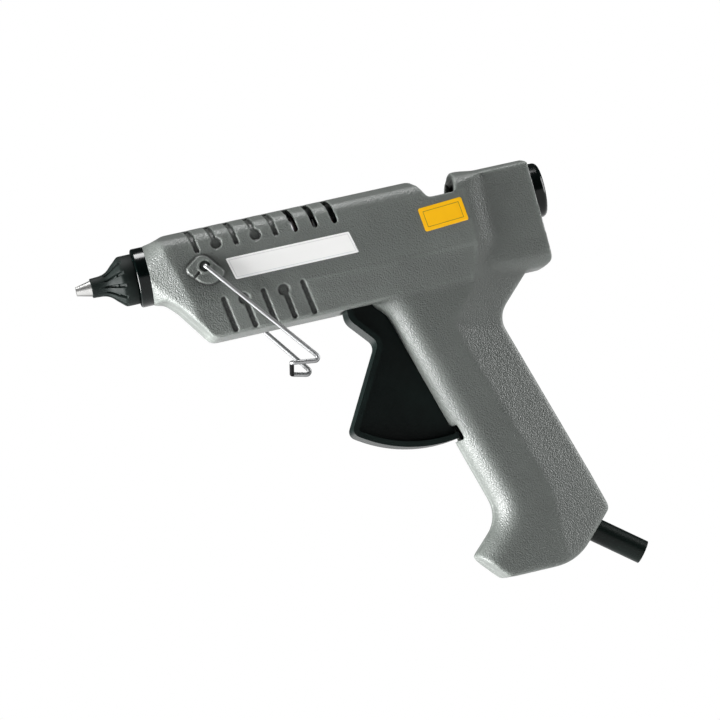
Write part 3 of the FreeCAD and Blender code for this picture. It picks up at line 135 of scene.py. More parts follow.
def scale_colour(tree: bpy.types.NodeTree, factor: bpy.types.NodeSocket) -> None:
    """Multiply the surface shader's base colour by a factor.

    Args:
        tree: The node tree.
        factor: The factor.
    """
    colour = tree.nodes["Principled BSDF"].inputs["Base Color"]
    scaled = tree.nodes.new("ShaderNodeVectorMath")
    scaled.operation = "SCALE"
    tree.links.new(colour.links[0].from_socket, scaled.inputs["Vector"])
    tree.links.new(factor, scaled.inputs["Scale"])
    tree.links.new(scaled.outputs["Vector"], colour)


def noise(tree: bpy.types.NodeTree, place: bpy.types.NodeSocket, scale: float, detail: float) -> bpy.types.NodeSocket:
    """Add a noise texture.

    Args:
        tree: The node tree.
        place: Texture coordinates.
        scale: Cells per metre.
        detail: Octaves.

    Returns:
        The noise from 0 to 1.
    """
    node = tree.nodes.new("ShaderNodeTexNoise")
    node.inputs["Scale"].default_value = scale
    node.inputs["Detail"].default_value = detail
    tree.links.new(place, node.inputs["Vector"])
    return node.outputs["Fac"]


@dataclass(frozen=True)
class Finish:
    """One finish, made as a node material on Object coordinates.

    Attributes:
        name: Name of the material.
        surface: Kind of surface.
        colour: Linear base colour.
        roughness: Middle roughness.
        variation: Share by which the colour wanders over the surface.
        grain_mm: Size of the fine relief.
        relief: Strength of the fine relief.
        index: Index of refraction, which sets how strongly a plastic reflects.
        relief_mm: Height of the fine relief.
    """

    name: str
    surface: Surface
    colour: Colour
    roughness: float
    variation: float = 0.12
    grain_mm: float = 0.8
    relief: float = 0.2
    index: float = 1.5
    relief_mm: float = 0.2

    def build(self) -> bpy.types.Material:
        """Make the material.

        Returns:
            The node material.
        """
        material = bpy.data.materials.new(self.name)
        material.use_nodes = True
        tree = material.node_tree
        shader = tree.nodes["Principled BSDF"]
        shader.inputs["Metallic"].default_value = 1.0 if self.surface is Surface.METAL else 0.0
        shader.inputs["IOR"].default_value = self.index
        place = tree.nodes.new("ShaderNodeTexCoord").outputs["Object"]
        wander = noise(tree, place, WANDER_SCALE, WANDER_DETAIL)
        tint = tree.nodes.new("ShaderNodeValToRGB")
        for stop, position, share in zip(tint.color_ramp.elements, WANDER_BAND,
                                         (1 - self.variation, 1 + self.variation)):
            stop.position = position
            stop.color = (*[min(part * share, 1) for part in self.colour], 1)
        tree.links.new(wander, tint.inputs["Fac"])
        tree.links.new(tint.outputs["Color"], shader.inputs["Base Color"])
        smoothest, roughest = (min(self.roughness * share, 1) for share in GLOSS_BAND)
        tree.links.new(mapped(tree, wander, UNIT, (smoothest, roughest)), shader.inputs["Roughness"])
        bump = tree.nodes.new("ShaderNodeBump")
        bump.inputs["Strength"].default_value = self.relief
        bump.inputs["Distance"].default_value = self.relief_mm * MM
        tree.links.new(self.relief_height(tree, place), bump.inputs["Height"])
        tree.links.new(bump.outputs["Normal"], shader.inputs["Normal"])
        return material

    def relief_height(self, tree: bpy.types.NodeTree, place: bpy.types.NodeSocket) -> bpy.types.NodeSocket:
        """Add the fine relief.

        Args:
            tree: The material's node tree.
            place: Texture coordinates.

        Returns:
            Height of the relief.
        """
        return noise(tree, place, 1000 / self.grain_mm, FINE_DETAIL)


@dataclass(frozen=True)
class GrainedPlastic(Finish):
    """Moulded plastic with a leathery pebble grain, with painted shade in its recesses and a painted highlight on its
    edges.

    Attributes:
        painted_shade_share: Share of the base colour that the painted shade leaves in a recess.
        painted_shade_start: Depth at which the painted shade in a recess begins.
        painted_highlight_share: Share of the base colour on a raised edge, as a painted highlight; its mirror value
            adds painted shade in a recess.
        smoothness: How softly pebbles meet.
        fine_scale: Scale of the finer unevenness, at a grain of 1 mm.
        fine_detail: Octaves of the finer unevenness.
    """

    relief_mm: float = 0.4
    painted_shade_share: float = 0.3
    painted_shade_start: float = 0.15
    painted_highlight_share: float = 1.6
    smoothness: float = 0.35
    fine_scale: float = 700
    fine_detail: float = 2

    def build(self) -> bpy.types.Material:
        """Make the material.

        Returns:
            The node material, which reads the mesh's own attribute of depth for its painted shade and painted
            highlight.
        """
        material = super().build()
        tree = material.node_tree
        # Painted light: raised edges are lightened as a painted highlight, and recesses are darkened as painted shade.
        depth = tree.nodes.new("ShaderNodeAttribute")
        depth.attribute_name = "depth"
        painted_relief_light = mapped(tree, depth.outputs["Fac"], (-1, 1), (self.painted_highlight_share, 2 - self.painted_highlight_share))
        painted_recess_shade = mapped(tree, depth.outputs["Fac"], (self.painted_shade_start, 1), (1, self.painted_shade_share))
        both = tree.nodes.new("ShaderNodeMath")
        both.operation = "MULTIPLY"
        tree.links.new(painted_relief_light, both.inputs[0])
        tree.links.new(painted_recess_shade, both.inputs[1])
        scale_colour(tree, both.outputs["Value"])
        return material

    def relief_height(self, tree: bpy.types.NodeTree, place: bpy.types.NodeSocket) -> bpy.types.NodeSocket:
        """Add rounded pebbles over a finer unevenness.

        Args:
            tree: The material's node tree.
            place: Texture coordinates.

        Returns:
            Height of the relief.
        """
        pebble = tree.nodes.new("ShaderNodeTexVoronoi")
        pebble.feature = "SMOOTH_F1"
        pebble.inputs["Scale"].default_value = 1000 / self.grain_mm
        pebble.inputs["Smoothness"].default_value = self.smoothness
        tree.links.new(place, pebble.inputs["Vector"])
        fine = noise(tree, place, self.fine_scale / self.grain_mm, self.fine_detail)
        height = tree.nodes.new("ShaderNodeMath")
        height.operation = "SUBTRACT"
        tree.links.new(fine, height.inputs[0])
        tree.links.new(pebble.outputs["Distance"], height.inputs[1])
        return height.outputs["Value"]


@dataclass(frozen=True)
class EdgeShadedMetal(Finish):
    """Bright metal with painted shade on its base colour where it turns away from the view.

    Attributes:
        turn_blend: Blend of the facing weight.
        turn_span: Facing weights between which the painted shade sets in.
        painted_turn_shade: Share of the base colour that the painted shade leaves where the metal turns away.
        rim_tint: Grey that it reflects with at a glancing angle.
    """

    turn_blend: float = 0.35
    turn_span: Span = (0.2, 0.75)
    painted_turn_shade: float = 0.12
    rim_tint: float = 0.1

    def build(self) -> bpy.types.Material:
        """Make the material.

        Returns:
            The node material.
        """
        material = super().build()
        tree = material.node_tree
        tree.nodes["Principled BSDF"].inputs["Specular Tint"].default_value = (*[self.rim_tint] * 3, 1)
        # Painted shade: the base colour darkens where the metal turns away from the camera.
        turned = tree.nodes.new("ShaderNodeLayerWeight")
        turned.inputs["Blend"].default_value = self.turn_blend
        scale_colour(tree, mapped(tree, turned.outputs["Facing"], self.turn_span, (1, self.painted_turn_shade)))
        return material


FINISHES: Tuple[Finish, ...] = (
    # The housing's grey carries painted shade in its recesses and a painted highlight on its edges.
    GrainedPlastic("housing_grey", Surface.GRAINED, linear(90, 94, 91), 0.4, 0.05, 0.65, 0.5),
    Finish("trigger_black", Surface.SATIN, linear(8, 20, 18), 0.38, 0.25, 0.5, 0.5, 1.3),
    Finish("gloss_black", Surface.POLISHED, linear(3, 9, 8), 0.16, 0.1, 2.0, 0.05, 1.35),
    Finish("cap_rubber", Surface.RUBBER, linear(16, 24, 22), 0.6, index=1.25),
    Finish("cable_rubber", Surface.RUBBER, linear(5, 16, 13), 0.35, index=1.3),
    # These two metals carry painted shade where they turn away from the camera.
    EdgeShadedMetal("nozzle_metal", Surface.METAL, linear(222, 222, 220), 0.38, 0.06, 1.5, 0.05),
    EdgeShadedMetal("bright_steel", Surface.METAL, linear(164, 165, 166), 0.45, 0.04, 2.0, 0.03),
    Finish("zinc_steel", Surface.METAL, linear(170, 172, 175), 0.35, 0.08),
    Finish("cast_aluminium", Surface.METAL, linear(190, 190, 192), 0.5, 0.1),
    Finish("heater_metal", Surface.METAL, linear(180, 180, 182), 0.4, 0.1),
    Finish("silicone_red", Surface.RUBBER, linear(46, 16, 12), 0.6),
    Finish("fitting_plastic", Surface.SATIN, linear(225, 223, 215), 0.5),
    Finish("fitting_black", Surface.SATIN, linear(45, 45, 47), 0.5),
)


def only(piece: bpy.types.Object) -> None:
    """Select one object and make it active.

    Args:
        piece: The object.
    """
    bpy.ops.object.select_all(action="DESELECT")
    piece.select_set(True)
    bpy.context.view_layer.objects.active = piece


def ramp(value: float, low: float, high: float) -> float:
    """Step smoothly from 0 to 1.

    Args:
        value: The value.
        low: Where the step starts.
        high: Where it ends.

    Returns:
        The height of the step at the value.
    """
    share = min(max((value - low) / (high - low), 0.0), 1.0)
    return share * share * (3 - 2 * share)


def apply_place() -> None:
    """Move the active object's place, turn and size into its mesh."""
    bpy.ops.object.transform_apply(location=True, rotation=True, scale=True)


def copy_of(piece: bpy.types.Object, name: str) -> bpy.types.Object:
    """Copy an object with its mesh.

    Args:
        piece: The object.
        name: Name of the copy.

    Returns:
        The copy.
    """
    copy = bpy.data.objects.new(name, piece.data.copy())
    bpy.context.scene.collection.objects.link(copy)
    return copy


def smoothed(piece: bpy.types.Object, name: str, rounds: int, group: str = "") -> None:
    """Smooth an object's mesh.

    Args:
        piece: The object.
        name: Name of the modifier.
        rounds: Passes.
        group: Vertex group that says how much each point takes part, or nothing for the whole mesh.
    """
    only(piece)
    smooth = piece.modifiers.new(name, "SMOOTH")
    smooth.iterations = rounds
    smooth.vertex_group = group
    bpy.ops.object.modifier_apply(modifier=smooth.name)


def carve(piece: bpy.types.Object, cutter: bpy.types.Object) -> None:
    """Cut one object out of another and remove the cutter.

    Args:
        piece: The object that is cut.
        cutter: The object that is cut out of it.
    """
    only(piece)
    hollow = piece.modifiers.new("hollow", "BOOLEAN")
    hollow.operation = "DIFFERENCE"
    hollow.solver = "MANIFOLD"
    hollow.object = cutter
    bpy.ops.object.modifier_apply(modifier=hollow.name)
    bpy.data.objects.remove(cutter)


def weigh(piece: bpy.types.Object, name: str, shares: Sequence[float]) -> str:
    """Put the shares in a vertex group, in even steps.

    Args:
        piece: The object.
        name: Name of the group.
        shares: One share for each vertex, from 0 to 1.

    Returns:
        Name of the group.
    """
    group = piece.vertex_groups.new(name=name)
    steps: Dict[int, List[int]] = {}
    for index, share in enumerate(shares):
        steps.setdefault(round(share * WEIGHT_STEPS), []).append(index)
    for step, members in steps.items():
        if step:
            group.add(members, step / WEIGHT_STEPS, "REPLACE")
    return group.name


def finish_piece(piece: bpy.types.Object, body: str) -> None:
    """Let a piece ride on its body and report it.

    Args:
        piece: The finished piece.
        body: Body that it moves with.
    """
    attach(piece, body)
    LOG.info("%s rides on %s with %d faces", piece.name, body, len(piece.data.polygons))


@dataclass
class Housing:
    """Moulded halves of the body, whose edges are rounded as they leave the mould.

    Attributes:
        halves: Nodes of the two halves.
        voxel: Size of the even mesh that the halves are softened on.
        facets: Most triangles that a half keeps.
        seam: Distances from the parting line between which edges turn from sharp to rounded.
        ray_start: How far off the surface the search for another wall starts.
        ray_reach: How far that search goes.
        small_rounds: Passes that round every outer edge.
        large_rounds: Passes that round the nose, the underside and the grip.
        blend_rounds: Passes that blend the sides of the rear block into the grip.
        level_rounds: Passes that make the level form, against which depth is measured.
        full_depth: Depth at which the painted shade in a recess is darkest.
        neck_face: Front face of the housing.
        neck_small: Fade of the light rounding behind the front face.
        neck_large: Fade of the strong rounding behind the front face.
        slots_rear: Rear end of the rows of slots.
        upper_slots: Height above which the upper slots lie.
        lower_slots: Heights between which the lower slots lie.
        slot_share: Share of the light rounding that the slots and the bosses get.
        stand_hole: Place of the wire stand's hole along the barrel and up.
        boss_reach: Radius within which the boss lies.
        boss_fade: Fade of the strong rounding round the boss.
        boss_side: Distance from the middle beyond which the boss stands.
        nose: Fade of the nose's rounding along the barrel.
        under: Fade of the underside's rounding in height.
        grip: Fade of the grip's rounding in depth below the barrel's axis.
        blend_front: Front fade of the rear block's blend.
        blend_rear: Rear fade of that blend.
        blend_low: Lower fade of that blend.
        blend_high: Upper fade of that blend.
        blend_side: Fade of that blend in distance from the middle.
        arch_x: Ends of the rear block's arch along the barrel.
        arch_half: Half width of the arch.
        arch_floor: Height of its floor.
        arch_rise: Height of its opening.
        arch_round: Radius of its upper corners.
        arch_parts: Segments of those corners.
        arch_margin: How far under the arch's top an edge still counts as an upper one.
        pocket_radius: Radius of the pocket round an end of the wire stand.
        pocket_depth: Length of the pocket's cutter.
        pocket_y: Distance of the pocket's cutter from the middle.
        pocket_parts: Sides of the pocket's cutter.
    """

    halves: Tuple[str, str] = ("housing_left", "housing_right")
    voxel: float = 0.5 * MM
    facets: int = 190000
    seam: Span = (0.4 * MM, 2.2 * MM)
    ray_start: float = 0.5 * MM
    ray_reach: float = 300 * MM
    small_rounds: int = 10
    large_rounds: int = 68
    blend_rounds: int = 180
    level_rounds: int = 40
    full_depth: float = 0.35 * MM
    neck_face: float = -203.2 * MM
    neck_small: Span = (0.6 * MM, 2.5 * MM)
    neck_large: Span = (1.5 * MM, 5 * MM)
    slots_rear: float = -82 * MM
    upper_slots: float = 2 * MM
    lower_slots: Span = (-39 * MM, -18 * MM)
    slot_share: float = 0.15
    stand_hole: Span = (-176 * MM, -3.1 * MM)
    boss_reach: float = 13 * MM
    boss_fade: float = 4 * MM
    boss_side: float = 19 * MM
    nose: Span = (-186 * MM, -180 * MM)
    under: Span = (-38.6 * MM, -37.2 * MM)
    grip: Span = (36 * MM, 46 * MM)
    blend_front: Span = (-43 * MM, -39 * MM)
    blend_rear: Span = (-12 * MM, -7 * MM)
    blend_low: Span = (-48 * MM, -40 * MM)
    blend_high: Span = (8 * MM, 12 * MM)
    blend_side: Span = (9 * MM, 12 * MM)
    arch_x: Span = (-48 * MM, -42.5 * MM)
    arch_half: float = 14.2 * MM
    arch_floor: float = 6.7 * MM
    arch_rise: float = 7.8 * MM
    arch_round: float = 5 * MM
    arch_parts: int = 8
    arch_margin: float = 0.1 * MM
    pocket_radius: float = 2.7 * MM
    pocket_depth: float = 3.2 * MM
    pocket_y: float = 21.6 * MM
    pocket_parts: int = 32

    def build(self, looks: Dict[str, bpy.types.Material]) -> None:
        """Soften both halves and dress them.

        Args:
            looks: Materials by slot.
        """
        skin = self.closed_skin()
        for node in self.halves:
            shell = self.remeshed(node)
            self.soften(shell, skin)
            self.thin(shell)
            self.mark_depth(shell)
            shell.data.materials.clear()
            shell.data.materials.append(looks["housing_grey"])
            finish_piece(shell, "housing")
            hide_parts(node)

    def closed_skin(self) -> BVHTree:
        """Join the faces of both halves for a search.

        Returns:
            A search tree over both halves, which tells outer faces from inner ones.
        """
        corners: List[Vector] = []
        faces: List[Tuple[int, ...]] = []
        for node in self.halves:
            mesh = frame["nodes"][node].data
            first = len(corners)
            corners.extend(vertex.co.copy() for vertex in mesh.vertices)
            faces.extend(tuple(first + index for index in face.vertices) for face in mesh.polygons)
        return BVHTree.FromPolygons(corners, faces)

    def remeshed(self, node: str) -> bpy.types.Object:
        """Copy a half onto an even mesh.

        Args:
            node: Name of the CAD node.

        Returns:
            The copy.
        """
        shell = copy_of(frame["nodes"][node], f"{node}_shell")
        only(shell)
        bpy.ops.object.mode_set(mode="EDIT")
        bpy.ops.mesh.select_all(action="SELECT")
        bpy.ops.mesh.remove_doubles(threshold=WELD)
        bpy.ops.object.mode_set(mode="OBJECT")
        for cutter in (self.hood_arch(), *self.wire_pockets()):
            carve(shell, cutter)
        even = shell.modifiers.new("even_mesh", "REMESH")
        even.mode = "VOXEL"
        even.voxel_size = self.voxel
        bpy.ops.object.modifier_apply(modifier=even.name)
        return shell

    def hood_arch(self) -> bpy.types.Object:
        """Make the cutter for the open arch through which the glue stick leaves the rear block.

        Returns:
            The cutter.
        """
        front, back = self.arch_x
        bpy.ops.mesh.primitive_cube_add(size=1, location=((front + back) / 2, 0, self.arch_floor + self.arch_rise / 2),
                                        scale=(back - front, 2 * self.arch_half, self.arch_rise))
        arch = bpy.context.object
        bpy.ops.object.mode_set(mode="EDIT")
        bpy.ops.mesh.select_all(action="DESELECT")
        bpy.ops.object.mode_set(mode="OBJECT")
        apply_place()
        top = self.arch_floor + self.arch_rise - self.arch_margin
        for edge in arch.data.edges:
            ends = [arch.data.vertices[index].co for index in edge.vertices]
            edge.select = all(end.z > top for end in ends) and abs(ends[0].x - ends[1].x) > MM
        bpy.ops.object.mode_set(mode="EDIT")
        bpy.ops.mesh.bevel(offset=self.arch_round, segments=self.arch_parts)
        bpy.ops.object.mode_set(mode="OBJECT")
        return arch

    def wire_pockets(self) -> List[bpy.types.Object]:
        """Make the cutters for the dark pockets round the ends of the wire stand.

        Returns:
            One cutter for each side.
        """
        x, z = self.stand_hole
        pockets = []
        for side in (-1, 1):
            bpy.ops.mesh.primitive_cylinder_add(vertices=self.pocket_parts, radius=self.pocket_radius,
                                                depth=self.pocket_depth, location=(x, side * self.pocket_y, z),
                                                rotation=(math.pi / 2, 0, 0))
            pockets.append(bpy.context.object)
            apply_place()
        return pockets

    def mark_depth(self, shell: bpy.types.Object) -> None:
        """Store how far each point lies under or over the smoothed form, for the painted shade in recesses and the
        painted highlight on edges.

        Args:
            shell: The softened half.
        """
        level = shell.copy()
        level.data = shell.data.copy()
        bpy.context.scene.collection.objects.link(level)
        smoothed(level, "level", self.level_rounds)
        # This depth drives the painted shade in recesses and the painted highlight on edges.
        depth = shell.data.attributes.new("depth", "FLOAT", "POINT")
        shares = []
        for vertex, flat in zip(shell.data.vertices, level.data.vertices):
            share = (flat.co - vertex.co).dot(vertex.normal) / self.full_depth
            shares.append(min(max(share, -1.0), 1.0))
        depth.data.foreach_set("value", shares)
        bpy.data.objects.remove(level)

    def soften(self, shell: bpy.types.Object, skin: BVHTree) -> None:
        """Round the outer edges, a little everywhere and more where the hand and the nose are.

        Args:
            shell: The half on its even mesh.
            skin: Search tree over both halves.
        """
        zones = (("small_edges", self.small_share, self.small_rounds),
                 ("large_edges", self.large_share, self.large_rounds),
                 ("block_blend", self.blend_share, self.blend_rounds))
        shares: Dict[str, List[float]] = {name: [] for name, _, _ in zones}
        for vertex in shell.data.vertices:
            outer = self.outer_share(vertex.co, vertex.normal, skin)
            for name, zone_share, _ in zones:
                shares[name].append(outer * zone_share(vertex.co))
        for name, _, rounds in zones:
            smoothed(shell, name, rounds, weigh(shell, name, shares[name]))

    def outer_share(self, place: Vector, normal: Vector, skin: BVHTree) -> float:
        """Tell the outside of the body from faces that look at another wall.

        Args:
            place: Point on a half.
            normal: Its normal.
            skin: Search tree over both halves.

        Returns:
            0 for an inner face, and up to 1 for an outer one away from the parting line.
        """
        hit = skin.ray_cast(place + normal * self.ray_start, normal, self.ray_reach)
        if hit[0] is not None:
            return 0.0
        return ramp(abs(place.y), *self.seam)

    def small_share(self, place: Vector) -> float:
        """Say how far a point joins the light rounding.

        Args:
            place: Point on a half.

        Returns:
            A share from 0 to 1.
        """
        low, high = self.lower_slots
        slotted = place.x < self.slots_rear and (place.z > self.upper_slots or low < place.z < high)
        on_boss = abs(place.y) > self.boss_side and self.from_hole(place) < self.boss_reach
        held = self.slot_share if slotted or on_boss else 1.0
        return held * self.neck_share(place, self.neck_small)

    def large_share(self, place: Vector) -> float:
        """Say how far a point joins the strong rounding.

        Args:
            place: Point on a half.

        Returns:
            A share from 0 to 1.
        """
        boss = 1.0
        if abs(place.y) >= self.boss_side:
            boss = ramp(self.from_hole(place), self.boss_reach, self.boss_reach + self.boss_fade)
        nose = 1 - ramp(place.x, *self.nose)
        under = 1 - ramp(place.z, *self.under)
        return boss * self.neck_share(place, self.neck_large) * max(nose, under, ramp(-place.z, *self.grip))

    def blend_share(self, place: Vector) -> float:
        """Say how far a point joins the blend of the rear block's side into the grip.

        Args:
            place: Point on a half.

        Returns:
            A share from 0 to 1.
        """
        along = ramp(place.x, *self.blend_front) * (1 - ramp(place.x, *self.blend_rear))
        upward = ramp(place.z, *self.blend_low) * (1 - ramp(place.z, *self.blend_high))
        return along * upward * ramp(abs(place.y), *self.blend_side)

    def neck_share(self, place: Vector, fade: Span) -> float:
        """Keep the front face and its edge as they are.

        Args:
            place: Point on a half.
            fade: Distances behind the front face between which the rounding sets in.

        Returns:
            A share from 0 to 1.
        """
        near, far = fade
        return ramp(place.x, self.neck_face + near, self.neck_face + far)

    def from_hole(self, place: Vector) -> float:
        """Measure how far a point lies from the wire stand's hole.

        Args:
            place: Point on a half.

        Returns:
            The distance along the gun's side.
        """
        return math.hypot(place.x - self.stand_hole[0], place.z - self.stand_hole[1])

    def thin(self, shell: bpy.types.Object) -> None:
        """Drop the triangles that a half doesn't need.

        Args:
            shell: The softened half.
        """
        count = sum(len(face.vertices) - 2 for face in shell.data.polygons)
        fewer = shell.modifiers.new("fewer_faces", "DECIMATE")
        fewer.ratio = min(1.0, self.facets / count)
        bpy.ops.object.modifier_apply(modifier=fewer.name)
        only(shell)
        bpy.ops.object.shade_smooth()


@dataclass
class NozzleCap:
    """Fluted rubber cap that flares from the nozzle's neck to the collar.

    Attributes:
        outline: Stations along the barrel and their radii in millimetres, from the front bore round to the rear bore.
        flutes: Number of flutes.
        depth: Depth of a flute.
        start: Where the flutes begin.
        end: Where they end.
        fades: Shares of a flute's length by which it has set in, and from which it runs out.
        widths: Half widths of a flute at its start and its end.
        floor: Share of a flute's half width that is flat.
        bore: Radius below which no flute is pressed.
        round_parts: Sides of the turned form.
        sharp: Angle in degrees above which an edge stays sharp.
    """

    outline: Tuple[Span, ...] = (
        (-231.5, 4.2), (-231.8, 4.35), (-231.8, 4.7), (-231.6, 4.85), (-231.2, 4.9), (-229.0, 5.0), (-227.0, 5.15),
        (-225.6, 5.4), (-224.6, 5.7), (-223.8, 6.05), (-223.1, 6.45), (-222.5, 6.9), (-221.9, 7.4), (-221.4, 7.9),
        (-220.9, 8.4), (-220.4, 8.9), (-219.9, 9.35), (-219.4, 9.8), (-218.9, 10.25), (-218.4, 10.7), (-217.9, 11.15),
        (-217.4, 11.6), (-217.0, 11.95), (-216.6, 12.25), (-216.2, 12.45), (-215.7, 12.57), (-215.0, 12.6),
        (-214.0, 12.6), (-209.8, 12.6), (-209.5, 12.4), (-209.5, 9.3), (-204.0, 9.3), (-204.0, 7.8), (-218.3, 7.8),
        (-222.0, 4.2))
    flutes: int = 12
    depth: float = 1.5 * MM
    start: float = -225.8 * MM
    end: float = -215.4 * MM
    fades: Span = (0.25, 0.93)
    widths: Span = (0.5 * MM, 1.3 * MM)
    floor: float = 0.45
    bore: float = 5.2 * MM
    round_parts: int = 360
    sharp: float = 38

    def build(self, looks: Dict[str, bpy.types.Material]) -> None:
        """Turn the cap, press its flutes in and dress it.

        Args:
            looks: Materials by slot.
        """
        cap = self.turned()
        group = weigh(cap, "flutes", [self.flute_share(vertex.co) for vertex in cap.data.vertices])
        press = cap.modifiers.new("flutes", "DISPLACE")
        press.strength = -self.depth
        press.mid_level = 0
        press.vertex_group = group
        bpy.ops.object.modifier_apply(modifier=press.name)
        bpy.ops.object.shade_smooth_by_angle(angle=math.radians(self.sharp))
        cap.data.materials.append(looks["cap_rubber"])
        finish_piece(cap, "housing")
        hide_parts("nozzle_cap")

    def turned(self) -> bpy.types.Object:
        """Turn the outline about the barrel.

        Returns:
            The plain cap.
        """
        at, radius = self.outline[0]
        bpy.ops.mesh.primitive_circle_add(vertices=self.round_parts, radius=radius * MM, location=(at * MM, 0, 0),
                                          rotation=(0, math.pi / 2, 0))
        cap = bpy.context.object
        cap.name = "fluted_cap"
        apply_place()
        bpy.ops.object.mode_set(mode="EDIT")
        bpy.ops.mesh.select_all(action="SELECT")
        for next_at, next_radius in (*self.outline[1:], self.outline[0]):
            bpy.ops.mesh.extrude_region_move(TRANSFORM_OT_translate={"value": ((next_at - at) * MM, 0, 0)})
            share = next_radius / radius
            bpy.ops.transform.resize(value=(1, share, share), center_override=(next_at * MM, 0, 0))
            at, radius = next_at, next_radius
        bpy.ops.mesh.select_all(action="SELECT")
        bpy.ops.mesh.remove_doubles(threshold=WELD)
        bpy.ops.mesh.normals_make_consistent(inside=False)
        bpy.ops.object.mode_set(mode="OBJECT")
        return cap

    def flute_share(self, place: Vector) -> float:
        """Say how deep a point lies in a flute.

        Args:
            place: Point on the cap.

        Returns:
            A share from 0 to 1.
        """
        radius = math.hypot(place.y, place.z)
        if not self.start < place.x < self.end or radius < self.bore:
            return 0.0
        along = (place.x - self.start) / (self.end - self.start)
        pitch = 2 * math.pi / self.flutes
        turn = math.atan2(place.z, -place.y) % pitch - pitch / 2
        narrow, wide = self.widths
        half = narrow + (wide - narrow) * along
        across = 1 - ramp(abs(turn) * radius, self.floor * half, half)
        return across * ramp(along, 0.0, self.fades[0]) * (1 - ramp(along, self.fades[1], 1.0))


@dataclass
class ReturnSpring:
    """Coil spring under the trigger's hub.

    Attributes:
        node: CAD node that it stands for.
        keep: Share of its length that is left at full pull; not used.
    """

    node: str = "return_spring"
    keep: float = 0.5

    def build(self) -> None:
        """Copy the spring and let it ride on the housing."""
        spring = copy_of(frame["nodes"][self.node], "trigger_spring")
        finish_piece(spring, "housing")
        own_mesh(spring)
        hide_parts(self.node)


@dataclass
class Label:
    """A bare stuck-on label with rounded corners and a thin printed frame.

    Attributes:
        name: Name of the piece.
        centre: Middle of the label on the gun's side, along the barrel and up.
        size: Length and height.
        lean: How far its lower edge lies back from its upper one.
        turn: Turn on the side in degrees, up towards the rear.
        corner: Radius of its corners.
        frame_in: Distance of the printed frame from the edge.
        paper: Colour of the label.
        ink: Colour of the frame.
        side_y: Place of the gun's side.
        thick: Thickness of the label.
        line: Width of the printed frame.
        corner_parts: Segments of its corners.
    """

    name: str
    centre: Span
    size: Span
    lean: float
    turn: float
    corner: float
    frame_in: float
    paper: Finish
    ink: Finish
    side_y: float = -20 * MM
    thick: float = 0.15 * MM
    line: float = 0.3 * MM
    corner_parts: int = 6

    def build(self) -> None:
        """Make the label, ride it on the housing and dress it."""
        x, z = self.centre
        bpy.ops.mesh.primitive_plane_add(size=1, location=(x, self.side_y, z), rotation=(math.pi / 2, 0, 0))
        label = bpy.context.object
        label.name = self.name
        label.scale = (*self.size, 1)
        apply_place()
        self.shape(label)
        label.data.materials.append(self.paper.build())
        label.data.materials.append(self.ink.build())
        finish_piece(label, "housing")

    def shape(self, label: bpy.types.Object) -> None:
        """Slant, round, frame and thicken the label.

        Args:
            label: The flat rectangle at its place.
        """
        x, z = self.centre
        slope = math.tan(math.radians(self.turn))
        for corner in label.data.vertices:
            corner.co.x += self.lean / 2 * (1 if corner.co.z < z else -1)
            corner.co.z += (corner.co.x - x) * slope
        outer = [corner.co.copy() for corner in label.data.vertices]
        bpy.ops.object.mode_set(mode="EDIT")
        bpy.ops.mesh.select_all(action="SELECT")
        bpy.ops.mesh.inset(thickness=self.frame_in)
        bpy.ops.mesh.inset(thickness=self.line)
        bpy.ops.mesh.select_all(action="DESELECT")
        bpy.ops.mesh.select_mode(type="VERT")
        bpy.ops.object.mode_set(mode="OBJECT")
        for corner in label.data.vertices:
            corner.select = any((corner.co - place).length < SAME_PLACE for place in outer)
        bpy.ops.object.mode_set(mode="EDIT")
        bpy.ops.mesh.bevel(offset=self.corner, segments=self.corner_parts, affect="VERTICES")
        bpy.ops.object.mode_set(mode="OBJECT")
        middle = Vector((x, self.side_y, z))
        field = min(label.data.polygons, key=lambda face: (face.center - middle).length)
        for face in label.data.polygons:
            if face.index != field.index and any(corner in field.vertices for corner in face.vertices):
                face.material_index = 1
        body = label.modifiers.new("body", "SOLIDIFY")
        body.thickness = self.thick
        body.offset = 1.0
        bpy.ops.object.modifier_apply(modifier=body.name)


LABELS: Tuple[Label, ...] = (
    Label("long_label", (-132.5 * MM, -7.25 * MM), (62.6 * MM, 11.1 * MM), 2.8 * MM, 0.0, 0.7 * MM, 0.9 * MM,
          Finish("label_white", Surface.SATIN, linear(250, 250, 249), 0.35, 0.01, 0.6, 0.05),
          Finish("label_grey", Surface.SATIN, linear(222, 223, 224), 0.35, 0.02, 0.6, 0.05)),
    Label("small_label", (-54.5 * MM, -3.5 * MM), (22.5 * MM, 12.1 * MM), 1.45 * MM, 3.6, 1.1 * MM, 1.9 * MM,
          Finish("label_yellow", Surface.SATIN, linear(254, 190, 14), 0.35, 0.03, 0.6, 0.05),
          Finish("label_ochre", Surface.SATIN, linear(150, 118, 40), 0.35, 0.03, 0.6, 0.05)),
)


@dataclass(frozen=True)
class Lamp:
    """A soft square lamp that points at the gun.

    Attributes:
        name: Name of the lamp.
        place: Where it stands.
        size: Side of its face.
        power: Watts.
    """

    name: str
    place: Point
    size: float
    power: float

    def build(self, aim: Point) -> None:
        """Set the lamp up.

        Args:
            aim: Point that it lights.
        """
        bpy.ops.object.light_add(type="AREA", location=self.place)
        lamp = bpy.context.object
        lamp.name = self.name
        lamp.data.shape = "SQUARE"
        lamp.data.size = self.size
        lamp.data.energy = self.power
        lamp.rotation_mode = "QUATERNION"
        lamp.rotation_quaternion = (Vector(aim) - Vector(self.place)).to_track_quat("-Z", "Y")


